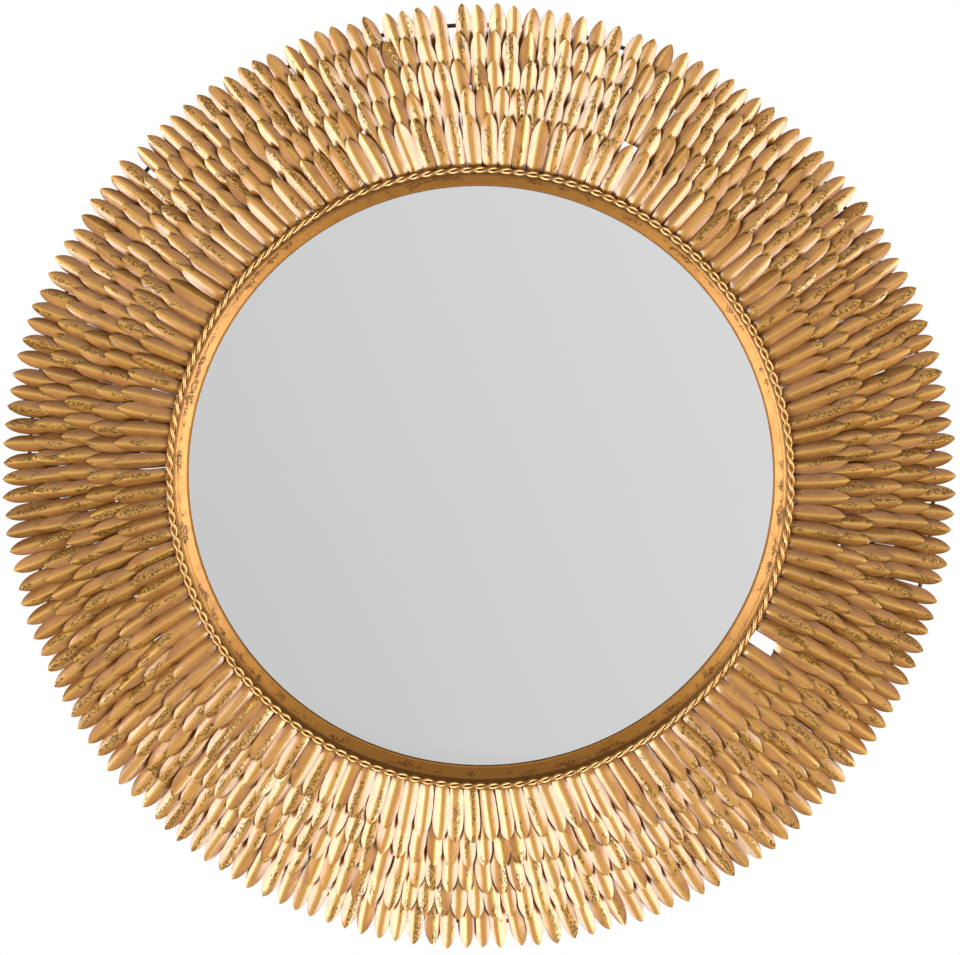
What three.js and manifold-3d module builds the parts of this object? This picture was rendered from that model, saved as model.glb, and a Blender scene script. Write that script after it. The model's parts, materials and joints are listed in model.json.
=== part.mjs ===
// A large round wall mirror. Its convex glass sits in a spun metal collar with a hollow bezel. A wire
// rope trims the collar's rim, and five overlapping rows of folded metal leaves stand out round it,
// each row welded to a hoop, the hoops to eight spokes.
//
// Millimetres, +Z up. The glass faces -Y, and the origin is the middle of the wall plane at its back.
// Inside the model's group the axes are those of a clock face: x up, y forward off the wall, z right.

import * as THREE from 'three';
import { mergeVertices } from 'three/addons/utils/BufferGeometryUtils.js';
import Module from 'manifold-3d';

const wasm = await Module();
wasm.setup();

// ---------------------------------------------------------------- driving dimensions

// Fits
const seatGap = 0.3; // between two pieces that bear on each other or are welded
const screwHoleGap = 0.3; // round a screw's shank

// Glass
const glassRadius = 288;
const glassThickness = 3;
const glassCrown = 30; // how far the middle stands forward of the edge

// Collar and bezel
const collarSheet = 1.5;
const collarWallRoom = 10.5; // from the glass's edge to the collar's wall
const collarSkirt = 2.3; // rear edge behind the board's back
const rimShoulder = 0.7; // width of the flat rim inside the wall
const bezelLipOverlap = 4.5; // over the glass's edge
const bezelRise = 11.9; // from the lip to the rim
const bezelHollow = 0.62; // how far the bezel's section is pulled towards its inner corner

// Rope trim on the rim
const ropeRadius = 3;
const ropeOverhang = 1; // rope's middle outside the collar's wall

// Leaves
const leafCounts = [134, 143, 154, 165, 172]; // innermost row first
const rowStep = 26.05; // from one row's roots to the next
const rowDrop = 3; // each row starts this much nearer the wall
const leafReach = 51.7; // from root to tip, along the radius
const leafTipLength = 14.7; // the part that narrows to the tip
const leafSheet = 0.8;
const leafRidge = 3.6; // height of the fold over the leaf's edges
const missingLeaves = new Map([[0, 120], [1, 23.7]]); // row, and the clock angle of the lost leaf

// Hoops and spokes
const hoopRodRadius = 2;
const hoopInset = 2.5; // hoop's middle outside its row's roots
const outerHoopReach = 30; // outer hoop's middle outside the last row's roots
const spokeCount = 8;
const spokeWidth = 12;
const spokeThickness = 3;
const spokeBelowRim = 6.8; // front face behind the collar's rim, at the collar
const spokeOverrun = 3; // past the outer hoop's middle

// Backing board, gasket and bumpers
const boardThickness = 4;
const gasketThickness = 2;
const gasketWidth = 6.5;
const gasketEdgeInset = 0.5; // inside the glass's edge
const bumperRadius = 8;
const bumperChamfer = 1.5;
const bumperInset = 46; // from the board's edge

// Board clips
const clipCount = 8;
const clipSheet = 1.2;
const clipWidth = 12;
const clipReach = 16; // along the board
const clipWallLeg = 9; // along the collar's wall

// Screws
const screwShankRadius = 1.5;
const screwHeadRadius = 3;
const screwHeadHeight = 1.8;
const screwTopShare = 0.75; // of the head's radius that is flat on top
const screwBite = 3; // into the board

// Strap hangers and their rings
const hangerAcross = 140;
const hangerUp = 135; // pivot height over the middle
const hangerWallRoom = 2; // between the strap's curl and the wall
const strapWidth = 14;
const strapSheet = 1.2;
const strapScrewRoom = 3.5; // from the hanging ring to the first screw's head
const strapScrewPitch = 12;
const strapTail = 8; // below the last screw
const curlEndAngle = -150 * THREE.MathUtils.DEG2RAD;
const ringWireRadius = 1.5;
const ringSideRoom = 1; // between the strap's edge and the ring's bend
const ringBend = 3;
const ringStraight = 2; // straight side between the bend and the bow
const ringButtGap = 0.5; // between the wire's two ends, inside the curl

// Facets
const ringSegments = 48;
const ropeSides = 8;
const rodSides = 6;
const glassArcSteps = 4;
const bezelArcSteps = 4;
const holeSides = 10;
const screwSides = 8;
const bumperSides = 12;
const ringSteps = 26;
const curlSegments = 8;

// ---------------------------------------------------------------- sizes that follow

const halfFacet = Math.PI / ringSegments;
// Distance from the axis to the middle of a facet of a ring of this radius. The middles lie at the
// clock angles of the spokes and clips.
const flatReach = (radius) => radius * Math.cos(halfFacet);

// Radii outwards from the glass
const bezelLipRadius = glassRadius - bezelLipOverlap;
const wallInside = glassRadius + collarWallRoom;
const collarRadius = wallInside + collarSheet;
const ropeRingRadius = collarRadius + ropeOverhang;
const firstRootRadius = ropeRingRadius + ropeRadius + seatGap;
const rootRadius = (row) => firstRootRadius + row * rowStep;
const firstHoopRadius = collarRadius + seatGap + hoopRodRadius;
const outerHoopRadius = rootRadius(leafCounts.length - 1) + outerHoopReach;

// Strap hanger and ring
const curlInnerRadius = ringWireRadius + seatGap;
const curlOuterRadius = curlInnerRadius + strapSheet;
const ringHalfWidth = strapWidth / 2 + ringSideRoom + ringBend;
const ringDrop = ringHalfWidth + ringBend + ringStraight; // pivot to the middle of the bow
const firstScrewDrop = ringDrop + ringWireRadius + strapScrewRoom + screwHeadRadius;
const strapScrewDrops = [firstScrewDrop, firstScrewDrop + strapScrewPitch];
const strapLength = firstScrewDrop + strapScrewPitch + strapTail;

// Heights above the wall, from the hangers forward
const pivotHeight = hangerWallRoom + curlOuterRadius;
const strapFront = pivotHeight + curlOuterRadius;
const boardBack = strapFront + seatGap;
const bumperHeight = boardBack - seatGap;
const collarRearHeight = boardBack - collarSkirt;
const boardFront = boardBack + boardThickness;
const gasketBack = boardFront + seatGap;
const glassEdgeBack = gasketBack + gasketThickness + seatGap;
const glassEdgeFront = glassEdgeBack + glassThickness;

const glassSphere = (glassRadius ** 2 + glassCrown ** 2) / (2 * glassCrown);
const glassFrontAt = (radius) =>
  glassEdgeFront + glassCrown - glassSphere + Math.sqrt(glassSphere ** 2 - radius ** 2);

const bezelLipBack = glassFrontAt(bezelLipRadius) + seatGap;
const bezelLipFront = bezelLipBack + collarSheet;
const collarRimHeight = bezelLipFront + bezelRise;

// The rows' undersides: a nested row clears the fold of the row under it
const leafHeight = leafSheet + leafRidge;
const leafSlope = (leafHeight + seatGap - rowDrop) / rowStep;
const shoulderReach = leafReach - leafTipLength;

// The spokes fall back as fast as the rows do
const spokeSlope = rowDrop / rowStep;
const spokeAngle = Math.atan(spokeSlope);
const spokeFrontAt = (radius) =>
  collarRimHeight - spokeBelowRim - (radius - collarRadius) * spokeSlope;
const hoopHeightAt = (radius) =>
  spokeFrontAt(radius) + (hoopRodRadius + seatGap) / Math.cos(spokeAngle);
const leafAngle = Math.atan(leafSlope);
const leafBase = (row) =>
  hoopHeightAt(rootRadius(row) + hoopInset) +
  (hoopRodRadius + seatGap) / Math.cos(leafAngle) - hoopInset * leafSlope;

// The clips stand between the collar's wall and the board's edge
const clipOuter = flatReach(wallInside) - seatGap;
const clipFront = boardBack - seatGap;
const boardRadius = (clipOuter - clipSheet - seatGap) / Math.cos(halfFacet);

// ---------------------------------------------------------------- finishes

const finish = (color, roughness, metalness) =>
  new THREE.MeshStandardMaterial({ color, roughness, metalness });

const giltLeaf = finish(0xc79a56, 0.42, 0.9);
const giltBezel = finish(0xb98a44, 0.45, 0.9);
const giltRope = finish(0xd2ac72, 0.4, 0.9);
const silvered = finish(0xc8c9c9, 0.04, 1);
const darkIron = finish(0x4b4038, 0.6, 0.8);
const board = finish(0x2a2522, 0.85, 0);
const blackRubber = finish(0x1b1b1b, 0.9, 0);
const zincSteel = finish(0xa9abad, 0.35, 1);

// ---------------------------------------------------------------- making solids

/** A geometry as a closed body with only positions, its shared vertices merged. */
function welded(geometry) {
  const bare = geometry.index ? geometry.clone() : mergeVertices(geometry);
  bare.deleteAttribute('normal');
  bare.deleteAttribute('uv');
  return mergeVertices(bare);
}

function toSolid(geometry) {
  const closed = welded(geometry);
  return new wasm.Manifold(new wasm.Mesh({
    numProp: 3,
    vertProperties: new Float32Array(closed.attributes.position.array),
    triVerts: new Uint32Array(closed.index.array),
  }));
}

function toGeometry(solid) {
  const { vertProperties, triVerts } = solid.getMesh();
  const geometry = new THREE.BufferGeometry();
  geometry.setAttribute('position', new THREE.BufferAttribute(vertProperties, 3));
  geometry.setIndex(new THREE.BufferAttribute(triVerts, 1));
  geometry.computeVertexNormals();
  return geometry;
}

/** The geometry with round holes along y. Each hole is {x, z, from, to}. */
function drilled(geometry, holes) {
  const radius = screwShankRadius + screwHoleGap;
  const solid = holes.reduce((rest, { x, z, from, to }) => {
    const drill = new THREE.CylinderGeometry(radius, radius, to - from, holeSides);
    drill.translate(x, (from + to) / 2, z);
    return rest.subtract(toSolid(drill));
  }, toSolid(geometry));
  return toGeometry(solid);
}

/** A body turned about the forward axis. The section's points are [radius, height], anticlockwise. */
function turned(section, segments = ringSegments) {
  const points = section.map(([radius, height]) => new THREE.Vector2(radius, height));
  return new THREE.LatheGeometry(points, segments, Math.PI / segments);
}

/** A hoop of round rod about the forward axis. */
function hoop(radius, rodRadius, sides) {
  const geometry = new THREE.TorusGeometry(radius, rodRadius, sides, ringSegments);
  return geometry.rotateX(Math.PI / 2).rotateY(halfFacet);
}

/** A strip whose edge outline is the shape, as wide as given, with its middle at z = 0. */
function strip(shape, width) {
  const options = { depth: width, bevelEnabled: false, curveSegments: curlSegments };
  return new THREE.ExtrudeGeometry(shape, options).translate(0, 0, -width / 2);
}

const mirror = new THREE.Group();
mirror.quaternion.setFromRotationMatrix(new THREE.Matrix4().makeBasis(
  new THREE.Vector3(0, 0, 1),
  new THREE.Vector3(0, -1, 0),
  new THREE.Vector3(1, 0, 0),
));

/** Adds a named piece to the group and returns it. */
function piece(name, geometry, material, parent = mirror) {
  const mesh = new THREE.Mesh(geometry, material);
  mesh.name = name;
  parent.add(mesh);
  return mesh;
}

/** A group turned clockwise by this angle, so that its x points out along that clock hand. */
function clockHand(angle) {
  const hand = new THREE.Group();
  hand.rotation.y = -angle;
  mirror.add(hand);
  return hand;
}

// ---------------------------------------------------------------- glass and what holds it

function glassSection() {
  const radii = Array.from({ length: glassArcSteps + 1 }, (_, i) => (glassRadius * i) / glassArcSteps);
  const back = radii.map((radius) => [radius, glassFrontAt(radius) - glassThickness]);
  const front = radii.map((radius) => [radius, glassFrontAt(radius)]).reverse();
  return [...back, ...front];
}

/** The bezel's hollow from the rim's inner edge down to the lip, or its back when it is set in. */
function bezelArc(top, lip) {
  const corner = [top[0] + (lip[0] - top[0]) * (1 - bezelHollow), top[1] + (lip[1] - top[1]) * bezelHollow];
  const arc = new THREE.QuadraticBezierCurve(...[top, corner, lip].map((p) => new THREE.Vector2(...p)));
  return arc.getPoints(bezelArcSteps).map(({ x, y }) => [x, y]);
}

function collarSection() {
  const rimInside = wallInside - rimShoulder;
  const face = bezelArc([rimInside, collarRimHeight], [bezelLipRadius, bezelLipFront]);
  const back = bezelArc(
    [rimInside - collarSheet / 2, collarRimHeight - collarSheet],
    [bezelLipRadius, bezelLipBack],
  ).reverse();
  return [
    [wallInside, collarRearHeight],
    [collarRadius, collarRearHeight],
    [collarRadius, collarRimHeight],
    ...face,
    ...back,
    [wallInside, collarRimHeight - collarSheet],
    [wallInside, collarRearHeight],
  ];
}

function gasketSection() {
  const outer = glassRadius - gasketEdgeInset;
  const inner = outer - gasketWidth;
  const under = (radius) => glassFrontAt(radius) - glassThickness - seatGap;
  return [
    [inner, gasketBack],
    [outer, gasketBack],
    [outer, under(outer)],
    [inner, under(inner)],
    [inner, gasketBack],
  ];
}

piece('mirror_glass', turned(glassSection()), silvered);
piece('bezel_collar', turned(collarSection()), giltBezel);
piece('rim_gasket', turned(gasketSection()), blackRubber);
piece('rope_trim', hoop(ropeRingRadius, ropeRadius, ropeSides), giltRope)
  .position.y = collarRimHeight + seatGap + ropeRadius;

// ---------------------------------------------------------------- leaf rows

/**
 * One row of folded leaves, welded edge to edge from their roots to their shoulders. Each leaf has its
 * root and shoulder edges in common with its neighbours, and a fold and a tip of its own.
 */
function leafRow(row) {
  const count = leafCounts[row];
  const root = rootRadius(row);
  const base = leafBase(row);
  const pitch = (2 * Math.PI) / count;
  const lostAt = missingLeaves.get(row);
  const start = (lostAt ?? 0) * THREE.MathUtils.DEG2RAD;
  const positions = [];
  const faces = [];

  const vertex = (reach, angle, height) => {
    const radius = root + reach;
    positions.push(radius * Math.cos(angle), base + reach * leafSlope + height, radius * Math.sin(angle));
    return positions.length / 3 - 1;
  };
  const edges = Array.from({ length: count }, (_, i) => {
    const angle = start + (i - 0.5) * pitch;
    return {
      rootBack: vertex(0, angle, 0),
      rootFront: vertex(0, angle, leafSheet),
      shoulderBack: vertex(shoulderReach, angle, 0),
      shoulderFront: vertex(shoulderReach, angle, leafSheet),
    };
  });

  for (let i = lostAt === undefined ? 0 : 1; i < count; i += 1) {
    const left = edges[i];
    const right = edges[(i + 1) % count];
    const angle = start + i * pitch;
    const foldRoot = vertex(0, angle, leafHeight);
    const foldShoulder = vertex(shoulderReach, angle, leafHeight);
    const tip = vertex(leafReach, angle, 0);
    faces.push(
      // the two slopes of the fold
      left.rootFront, foldRoot, foldShoulder,
      left.rootFront, foldShoulder, left.shoulderFront,
      foldRoot, right.rootFront, right.shoulderFront,
      foldRoot, right.shoulderFront, foldShoulder,
      // the narrowing tip and its edges
      left.shoulderFront, foldShoulder, tip,
      foldShoulder, right.shoulderFront, tip,
      left.shoulderBack, left.shoulderFront, tip,
      right.shoulderBack, tip, right.shoulderFront,
      // the back
      left.rootBack, right.shoulderBack, right.rootBack,
      left.rootBack, left.shoulderBack, right.shoulderBack,
      left.shoulderBack, tip, right.shoulderBack,
      // the root's end
      left.rootBack, right.rootBack, foldRoot,
      left.rootBack, foldRoot, left.rootFront,
      right.rootBack, right.rootFront, foldRoot,
    );
  }
  if (lostAt !== undefined) {
    const [last, first] = edges;
    faces.push(
      first.rootBack, first.rootFront, first.shoulderFront,
      first.rootBack, first.shoulderFront, first.shoulderBack,
      last.rootBack, last.shoulderFront, last.rootFront,
      last.rootBack, last.shoulderBack, last.shoulderFront,
    );
  }

  const geometry = new THREE.BufferGeometry();
  geometry.setAttribute('position', new THREE.Float32BufferAttribute(positions, 3));
  geometry.setIndex(faces);
  geometry.computeVertexNormals();
  return geometry;
}

leafCounts.forEach((_, row) => {
  const hoopRadius = row === 0 ? firstHoopRadius : rootRadius(row) + hoopInset;
  piece(`leaf_row_${row + 1}`, leafRow(row), giltLeaf);
  piece(`leaf_hoop_${row + 1}`, hoop(hoopRadius, hoopRodRadius, rodSides), darkIron)
    .position.y = hoopHeightAt(hoopRadius);
});

piece('outer_hoop', hoop(outerHoopRadius, hoopRodRadius, rodSides), darkIron)
  .position.y = hoopHeightAt(outerHoopRadius);

// ---------------------------------------------------------------- spokes

for (let i = 0; i < spokeCount; i += 1) {
  const hand = clockHand((i * 2 * Math.PI) / spokeCount);
  const inner = flatReach(collarRadius) + seatGap + spokeThickness * Math.sin(spokeAngle);
  const length = (outerHoopRadius + spokeOverrun - inner) / Math.cos(spokeAngle);
  const bar = new THREE.BoxGeometry(length, spokeThickness, spokeWidth);
  bar.translate(length / 2, -spokeThickness / 2, 0);
  const spoke = piece(`spoke_${i + 1}`, bar, darkIron, hand);
  spoke.position.set(inner, spokeFrontAt(inner), 0);
  spoke.rotation.z = -spokeAngle;
}

// ---------------------------------------------------------------- screws, board, clips and bumpers

/** A screw whose head bears on a sheet of this thickness. y = 0 is the board's back. */
function screw(sheet) {
  const headFront = -(sheet + 2 * seatGap);
  const section = [
    [0, headFront - screwHeadHeight],
    [screwHeadRadius * screwTopShare, headFront - screwHeadHeight],
    [screwHeadRadius, headFront - screwHeadHeight / 2],
    [screwHeadRadius, headFront],
    [screwShankRadius, headFront],
    [screwShankRadius, screwBite - screwShankRadius],
    [0, screwBite],
  ];
  return turned(section, screwSides);
}

const clipAngles = Array.from({ length: clipCount }, (_, i) => ((i + 0.5) * 2 * Math.PI) / clipCount);
const clipScrewReach = clipOuter - (clipReach + clipSheet) / 2;
const hangerSides = [['left', -1], ['right', 1]];

const boardHoles = [
  ...clipAngles.map((angle) => [clipScrewReach * Math.cos(angle), clipScrewReach * Math.sin(angle)]),
  ...hangerSides.flatMap(([, side]) =>
    strapScrewDrops.map((drop) => [hangerUp - drop, side * hangerAcross])),
];
const boardDisc = turned([
  [0, boardBack],
  [boardRadius, boardBack],
  [boardRadius, boardFront],
  [0, boardFront],
]);
piece('backing_board', drilled(boardDisc, boardHoles.map(([x, z]) => (
  { x, z, from: boardBack - seatGap, to: boardBack + screwBite + screwHoleGap }
))), board);

function clipShape() {
  const back = clipFront - clipSheet;
  return new THREE.Shape([
    new THREE.Vector2(clipOuter - clipReach, back),
    new THREE.Vector2(clipOuter, back),
    new THREE.Vector2(clipOuter, back + clipWallLeg),
    new THREE.Vector2(clipOuter - clipSheet, back + clipWallLeg),
    new THREE.Vector2(clipOuter - clipSheet, clipFront),
    new THREE.Vector2(clipOuter - clipReach, clipFront),
  ]);
}

clipAngles.forEach((angle, i) => {
  const hand = clockHand(angle);
  const hole = { x: clipScrewReach, z: 0, from: clipFront - 2 * clipSheet, to: clipFront + clipSheet };
  piece(`board_clip_${i + 1}`, drilled(strip(clipShape(), clipWidth), [hole]), zincSteel, hand);
  piece(`clip_screw_${i + 1}`, screw(clipSheet), zincSteel, hand)
    .position.set(clipScrewReach, boardBack, 0);
});

const bumperSection = [
  [0, 0],
  [bumperRadius - bumperChamfer, 0],
  [bumperRadius, bumperChamfer],
  [bumperRadius, bumperHeight],
  [0, bumperHeight],
];
const bumperOffset = (boardRadius - bumperInset) * Math.SQRT1_2; // up and across from the middle
[[1, 1], [-1, 1], [-1, -1], [1, -1]].forEach(([up, right], i) => {
  piece(`wall_bumper_${i + 1}`, turned(bumperSection, bumperSides), blackRubber)
    .position.set(up * bumperOffset, 0, right * bumperOffset);
});

// ---------------------------------------------------------------- strap hangers

/** The strap's edge: flat on the board, with a curl over the ring's bar. The pivot is at (0, 0). */
function strapShape() {
  const shape = new THREE.Shape();
  shape.moveTo(-strapLength, curlOuterRadius);
  shape.lineTo(0, curlOuterRadius);
  shape.absarc(0, 0, curlOuterRadius, Math.PI / 2, curlEndAngle, true);
  shape.absarc(0, 0, curlInnerRadius, curlEndAngle, Math.PI / 2, false);
  shape.lineTo(-strapLength, curlInnerRadius);
  shape.closePath();
  return shape;
}

/** A D of bent wire, hanging from its straight bar, whose ends butt inside the strap's curl. */
function hangerRing() {
  const side = ringDrop - ringHalfWidth;
  const barEnd = ringHalfWidth - ringBend;
  const outline = new THREE.Path();
  outline.moveTo(ringButtGap / 2, 0);
  outline.lineTo(barEnd, 0);
  outline.absarc(barEnd, -ringBend, ringBend, Math.PI / 2, 0, true);
  outline.lineTo(ringHalfWidth, -side);
  outline.absarc(0, -side, ringHalfWidth, 0, -Math.PI, true);
  outline.lineTo(-ringHalfWidth, -ringBend);
  outline.absarc(-barEnd, -ringBend, ringBend, Math.PI, Math.PI / 2, true);
  outline.lineTo(-ringButtGap / 2, 0);
  const points = outline.getSpacedPoints(ringSteps).map(({ x, y }) => new THREE.Vector3(y, 0, x));
  const wire = new THREE.Shape(Array.from({ length: rodSides }, (_, i) => {
    const turn = (i * 2 * Math.PI) / rodSides;
    return new THREE.Vector2(ringWireRadius * Math.cos(turn), ringWireRadius * Math.sin(turn));
  }));
  const extrudePath = new THREE.CatmullRomCurve3(points);
  return new THREE.ExtrudeGeometry(wire, { steps: ringSteps, bevelEnabled: false, extrudePath });
}

let hangerScrews = 0;
for (const [sideName, side] of hangerSides) {
  const pivot = new THREE.Group();
  pivot.position.set(hangerUp, pivotHeight, side * hangerAcross);
  mirror.add(pivot);
  const strapHoles = strapScrewDrops.map((drop) => (
    { x: -drop, z: 0, from: curlInnerRadius - strapSheet, to: curlOuterRadius + strapSheet }
  ));
  piece(`hanger_strap_${sideName}`, drilled(strip(strapShape(), strapWidth), strapHoles), zincSteel, pivot);
  piece(`hanger_ring_${sideName}`, hangerRing(), zincSteel, pivot);
  for (const drop of strapScrewDrops) {
    hangerScrews += 1;
    piece(`hanger_screw_${hangerScrews}`, screw(strapSheet), zincSteel)
      .position.set(hangerUp - drop, boardBack, side * hangerAcross);
  }
}

export default mirror;
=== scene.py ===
"""Dresses a large round convex wall mirror: five rings of folded gilt leaves, a wire rope and a bezel.

Metres, +Z up, glass facing -Y. A clock angle runs clockwise from the top as the viewer sees it, and
a depth is a distance off the wall, towards the viewer. Sizes that the frame holds are read from it.
"""

from __future__ import annotations

import json
import logging
import math
from collections.abc import Callable
from dataclasses import dataclass, field
from enum import Enum

import bpy
import numpy as np
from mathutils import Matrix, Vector

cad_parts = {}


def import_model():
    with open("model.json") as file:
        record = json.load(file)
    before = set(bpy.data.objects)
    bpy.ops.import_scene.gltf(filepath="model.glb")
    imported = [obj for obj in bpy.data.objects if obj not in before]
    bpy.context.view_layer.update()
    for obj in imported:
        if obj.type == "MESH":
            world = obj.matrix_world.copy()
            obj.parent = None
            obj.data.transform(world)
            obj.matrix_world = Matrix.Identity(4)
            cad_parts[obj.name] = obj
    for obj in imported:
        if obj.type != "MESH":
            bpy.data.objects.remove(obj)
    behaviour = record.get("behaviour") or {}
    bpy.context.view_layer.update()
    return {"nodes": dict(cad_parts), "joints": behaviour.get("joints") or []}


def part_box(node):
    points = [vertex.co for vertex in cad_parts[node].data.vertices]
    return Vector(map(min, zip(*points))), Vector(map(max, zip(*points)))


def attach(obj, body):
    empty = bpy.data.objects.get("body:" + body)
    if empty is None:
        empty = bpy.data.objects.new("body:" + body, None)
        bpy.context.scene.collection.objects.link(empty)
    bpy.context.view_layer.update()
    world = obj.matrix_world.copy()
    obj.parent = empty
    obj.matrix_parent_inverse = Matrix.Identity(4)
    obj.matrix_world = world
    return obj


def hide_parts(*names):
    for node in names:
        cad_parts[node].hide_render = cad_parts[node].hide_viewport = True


LOG = logging.getLogger("mirror")
MM = 0.001
FRAME_BODY = "frame"
FORWARD = np.array([0.0, -1.0, 0.0])
WHITE = (1.0, 1.0, 1.0)
SMOOTH_ANGLE = math.radians(38)
EDGE_BAND = 0.2 * MM

Colour = tuple[float, float, float]
Material = bpy.types.Material
Socket = bpy.types.NodeSocket
Section = list[tuple[float, float]]
Shape = tuple[np.ndarray, list[tuple[int, ...]]]
Vary = Callable[[float], np.ndarray]


class Slot(Enum):
    """The record's material slots."""

    GLASS = "silvered_glass"
    LEAF = "gilt_leaf"
    BEZEL = "gilt_bezel"
    ROPE = "gilt_rope"
    IRON = "dark_iron"
    BOARD = "backing_board"
    BUMPER = "bumper_rubber"
    ZINC = "zinc_steel"


class Side(Enum):
    """The two hangers, by the viewer's left and right."""

    LEFT = -1
    RIGHT = 1

    @property
    def word(self) -> str:
        """The side's name in the names of nodes and bodies."""
        return self.name.lower()


# ---------------------------------------------------------------- places round the clock


def radial(angle: np.ndarray | float) -> np.ndarray:
    """Unit vectors out along these clock angles, in radians."""
    angle = np.asarray(angle, float)
    return np.stack([np.sin(angle), np.zeros_like(angle), np.cos(angle)], axis=-1)


def clockwise(angle: np.ndarray | float) -> np.ndarray:
    """Unit vectors clockwise round the clock at these angles, in radians."""
    angle = np.asarray(angle, float)
    return np.stack([np.cos(angle), np.zeros_like(angle), -np.sin(angle)], axis=-1)


def node_points(node: str) -> np.ndarray:
    """The vertices of a node of the frame."""
    vertices = bpy.data.objects[node].data.vertices
    flat = np.zeros(len(vertices) * 3, np.float32)
    vertices.foreach_get("co", flat)
    return flat.reshape(-1, 3).astype(float)


@dataclass(frozen=True)
class RingSpan:
    """Where a ring-shaped node of the frame lies.

    Args:
        inner: Least radius.
        outer: Greatest radius.
        back: Least depth.
        front: Greatest depth.
        inner_back: Least depth at the inner radius.
        outer_back: Least depth at the outer radius.
    """

    inner: float
    outer: float
    back: float
    front: float
    inner_back: float
    outer_back: float

    @classmethod
    def of(cls, node: str) -> RingSpan:
        """Measures a node.

        Args:
            node: The node's name.

        Returns:
            The node's span.
        """
        points = node_points(node)
        radius = np.hypot(points[:, 0], points[:, 2])
        depth = -points[:, 1]
        at_inner = radius < radius.min() + EDGE_BAND
        at_outer = radius > radius.max() - EDGE_BAND
        return cls(
            inner=float(radius.min()),
            outer=float(radius.max()),
            back=float(depth.min()),
            front=float(depth.max()),
            inner_back=float(depth[at_inner].min()),
            outer_back=float(depth[at_outer].min()),
        )

    @property
    def middle_radius(self) -> float:
        """The radius halfway between the inner and the outer one."""
        return (self.inner + self.outer) / 2

    @property
    def middle_depth(self) -> float:
        """The depth halfway between back and front."""
        return (self.back + self.front) / 2


def hand_points(node: str, angle: float) -> np.ndarray:
    """A node's vertices as [out along the clock hand, depth, clockwise across it].

    Args:
        node: The node's name.
        angle: The hand's clock angle in radians.

    Returns:
        One row for each vertex.
    """
    points = node_points(node)
    return np.stack([points @ radial(angle), -points[:, 1], points @ clockwise(angle)], axis=1)


def on_hand(angle: float, flat: np.ndarray) -> np.ndarray:
    """Points or directions [out along the clock hand, depth], in the frame's own axes."""
    return radial(angle) * flat[:, :1] + FORWARD * flat[:, 1:]


# ---------------------------------------------------------------- meshes


@dataclass
class MeshStock:
    """Collects bodies and values for their vertices, and makes one object of them."""

    points: list[np.ndarray] = field(default_factory=list)
    faces: list[tuple[int, ...]] = field(default_factory=list)
    values: dict[str, list[np.ndarray]] = field(default_factory=dict)
    size: int = 0

    def add(self, points: np.ndarray, faces: list[tuple[int, ...]], **values: np.ndarray) -> None:
        """Adds a body.

        Args:
            points: Its vertices.
            faces: Vertex numbers of each face, counted within this body.
            values: A value, or a vector, for each vertex under each name.
        """
        self.faces.extend(tuple(i + self.size for i in face) for face in faces)
        self.points.append(points)
        self.size += len(points)
        for name, value in values.items():
            self.values.setdefault(name, []).append(value)

    def build(self, name: str, materials: list[Material], bevel: float = 0.0) -> bpy.types.Object:
        """Makes the object.

        Args:
            name: The piece's name.
            materials: Its materials. Every face has the first one.
            bevel: Width of the rounding on sharp edges.

        Returns:
            The object, linked to the scene.
        """
        mesh = bpy.data.meshes.new(name)
        mesh.from_pydata(np.concatenate(self.points), [], self.faces)
        for value_name, parts in self.values.items():
            joined = np.concatenate(parts).astype(np.float32)
            kind, key = ("FLOAT_VECTOR", "vector") if joined.ndim == 2 else ("FLOAT", "value")
            mesh.attributes.new(value_name, kind, "POINT").data.foreach_set(key, joined.ravel())
        mesh.shade_smooth()
        mesh.set_sharp_from_angle(angle=SMOOTH_ANGLE)
        for material in materials:
            mesh.materials.append(material)
        piece = bpy.data.objects.new(name, mesh)
        bpy.context.scene.collection.objects.link(piece)
        if bevel:
            modifier = piece.modifiers.new("rounding", "BEVEL")
            modifier.width = bevel
            modifier.segments = 2
            modifier.limit_method = "ANGLE"
            modifier.angle_limit = SMOOTH_ANGLE
            modifier.harden_normals = True
        return piece


def grid_faces(rows: int, columns: int, wrap_rows: bool, wrap_columns: bool) -> list[tuple[int, ...]]:
    """Quads between the points of a grid, counted row by row.

    Args:
        rows: Number of rows of points.
        columns: Number of points in a row.
        wrap_rows: Whether the last row joins the first.
        wrap_columns: Whether the last point of a row joins the first.

    Returns:
        Four vertex numbers for each face.
    """
    i = np.arange(rows if wrap_rows else rows - 1)
    j = np.arange(columns if wrap_columns else columns - 1)
    row, column = (part.ravel() for part in np.meshgrid(i, j, indexing="ij"))
    next_row = (row + 1) % rows
    next_column = (column + 1) % columns
    corners = [(row, column), (row, next_column), (next_row, next_column), (next_row, column)]
    return list(zip(*((a * columns + b).tolist() for a, b in corners)))


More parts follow.
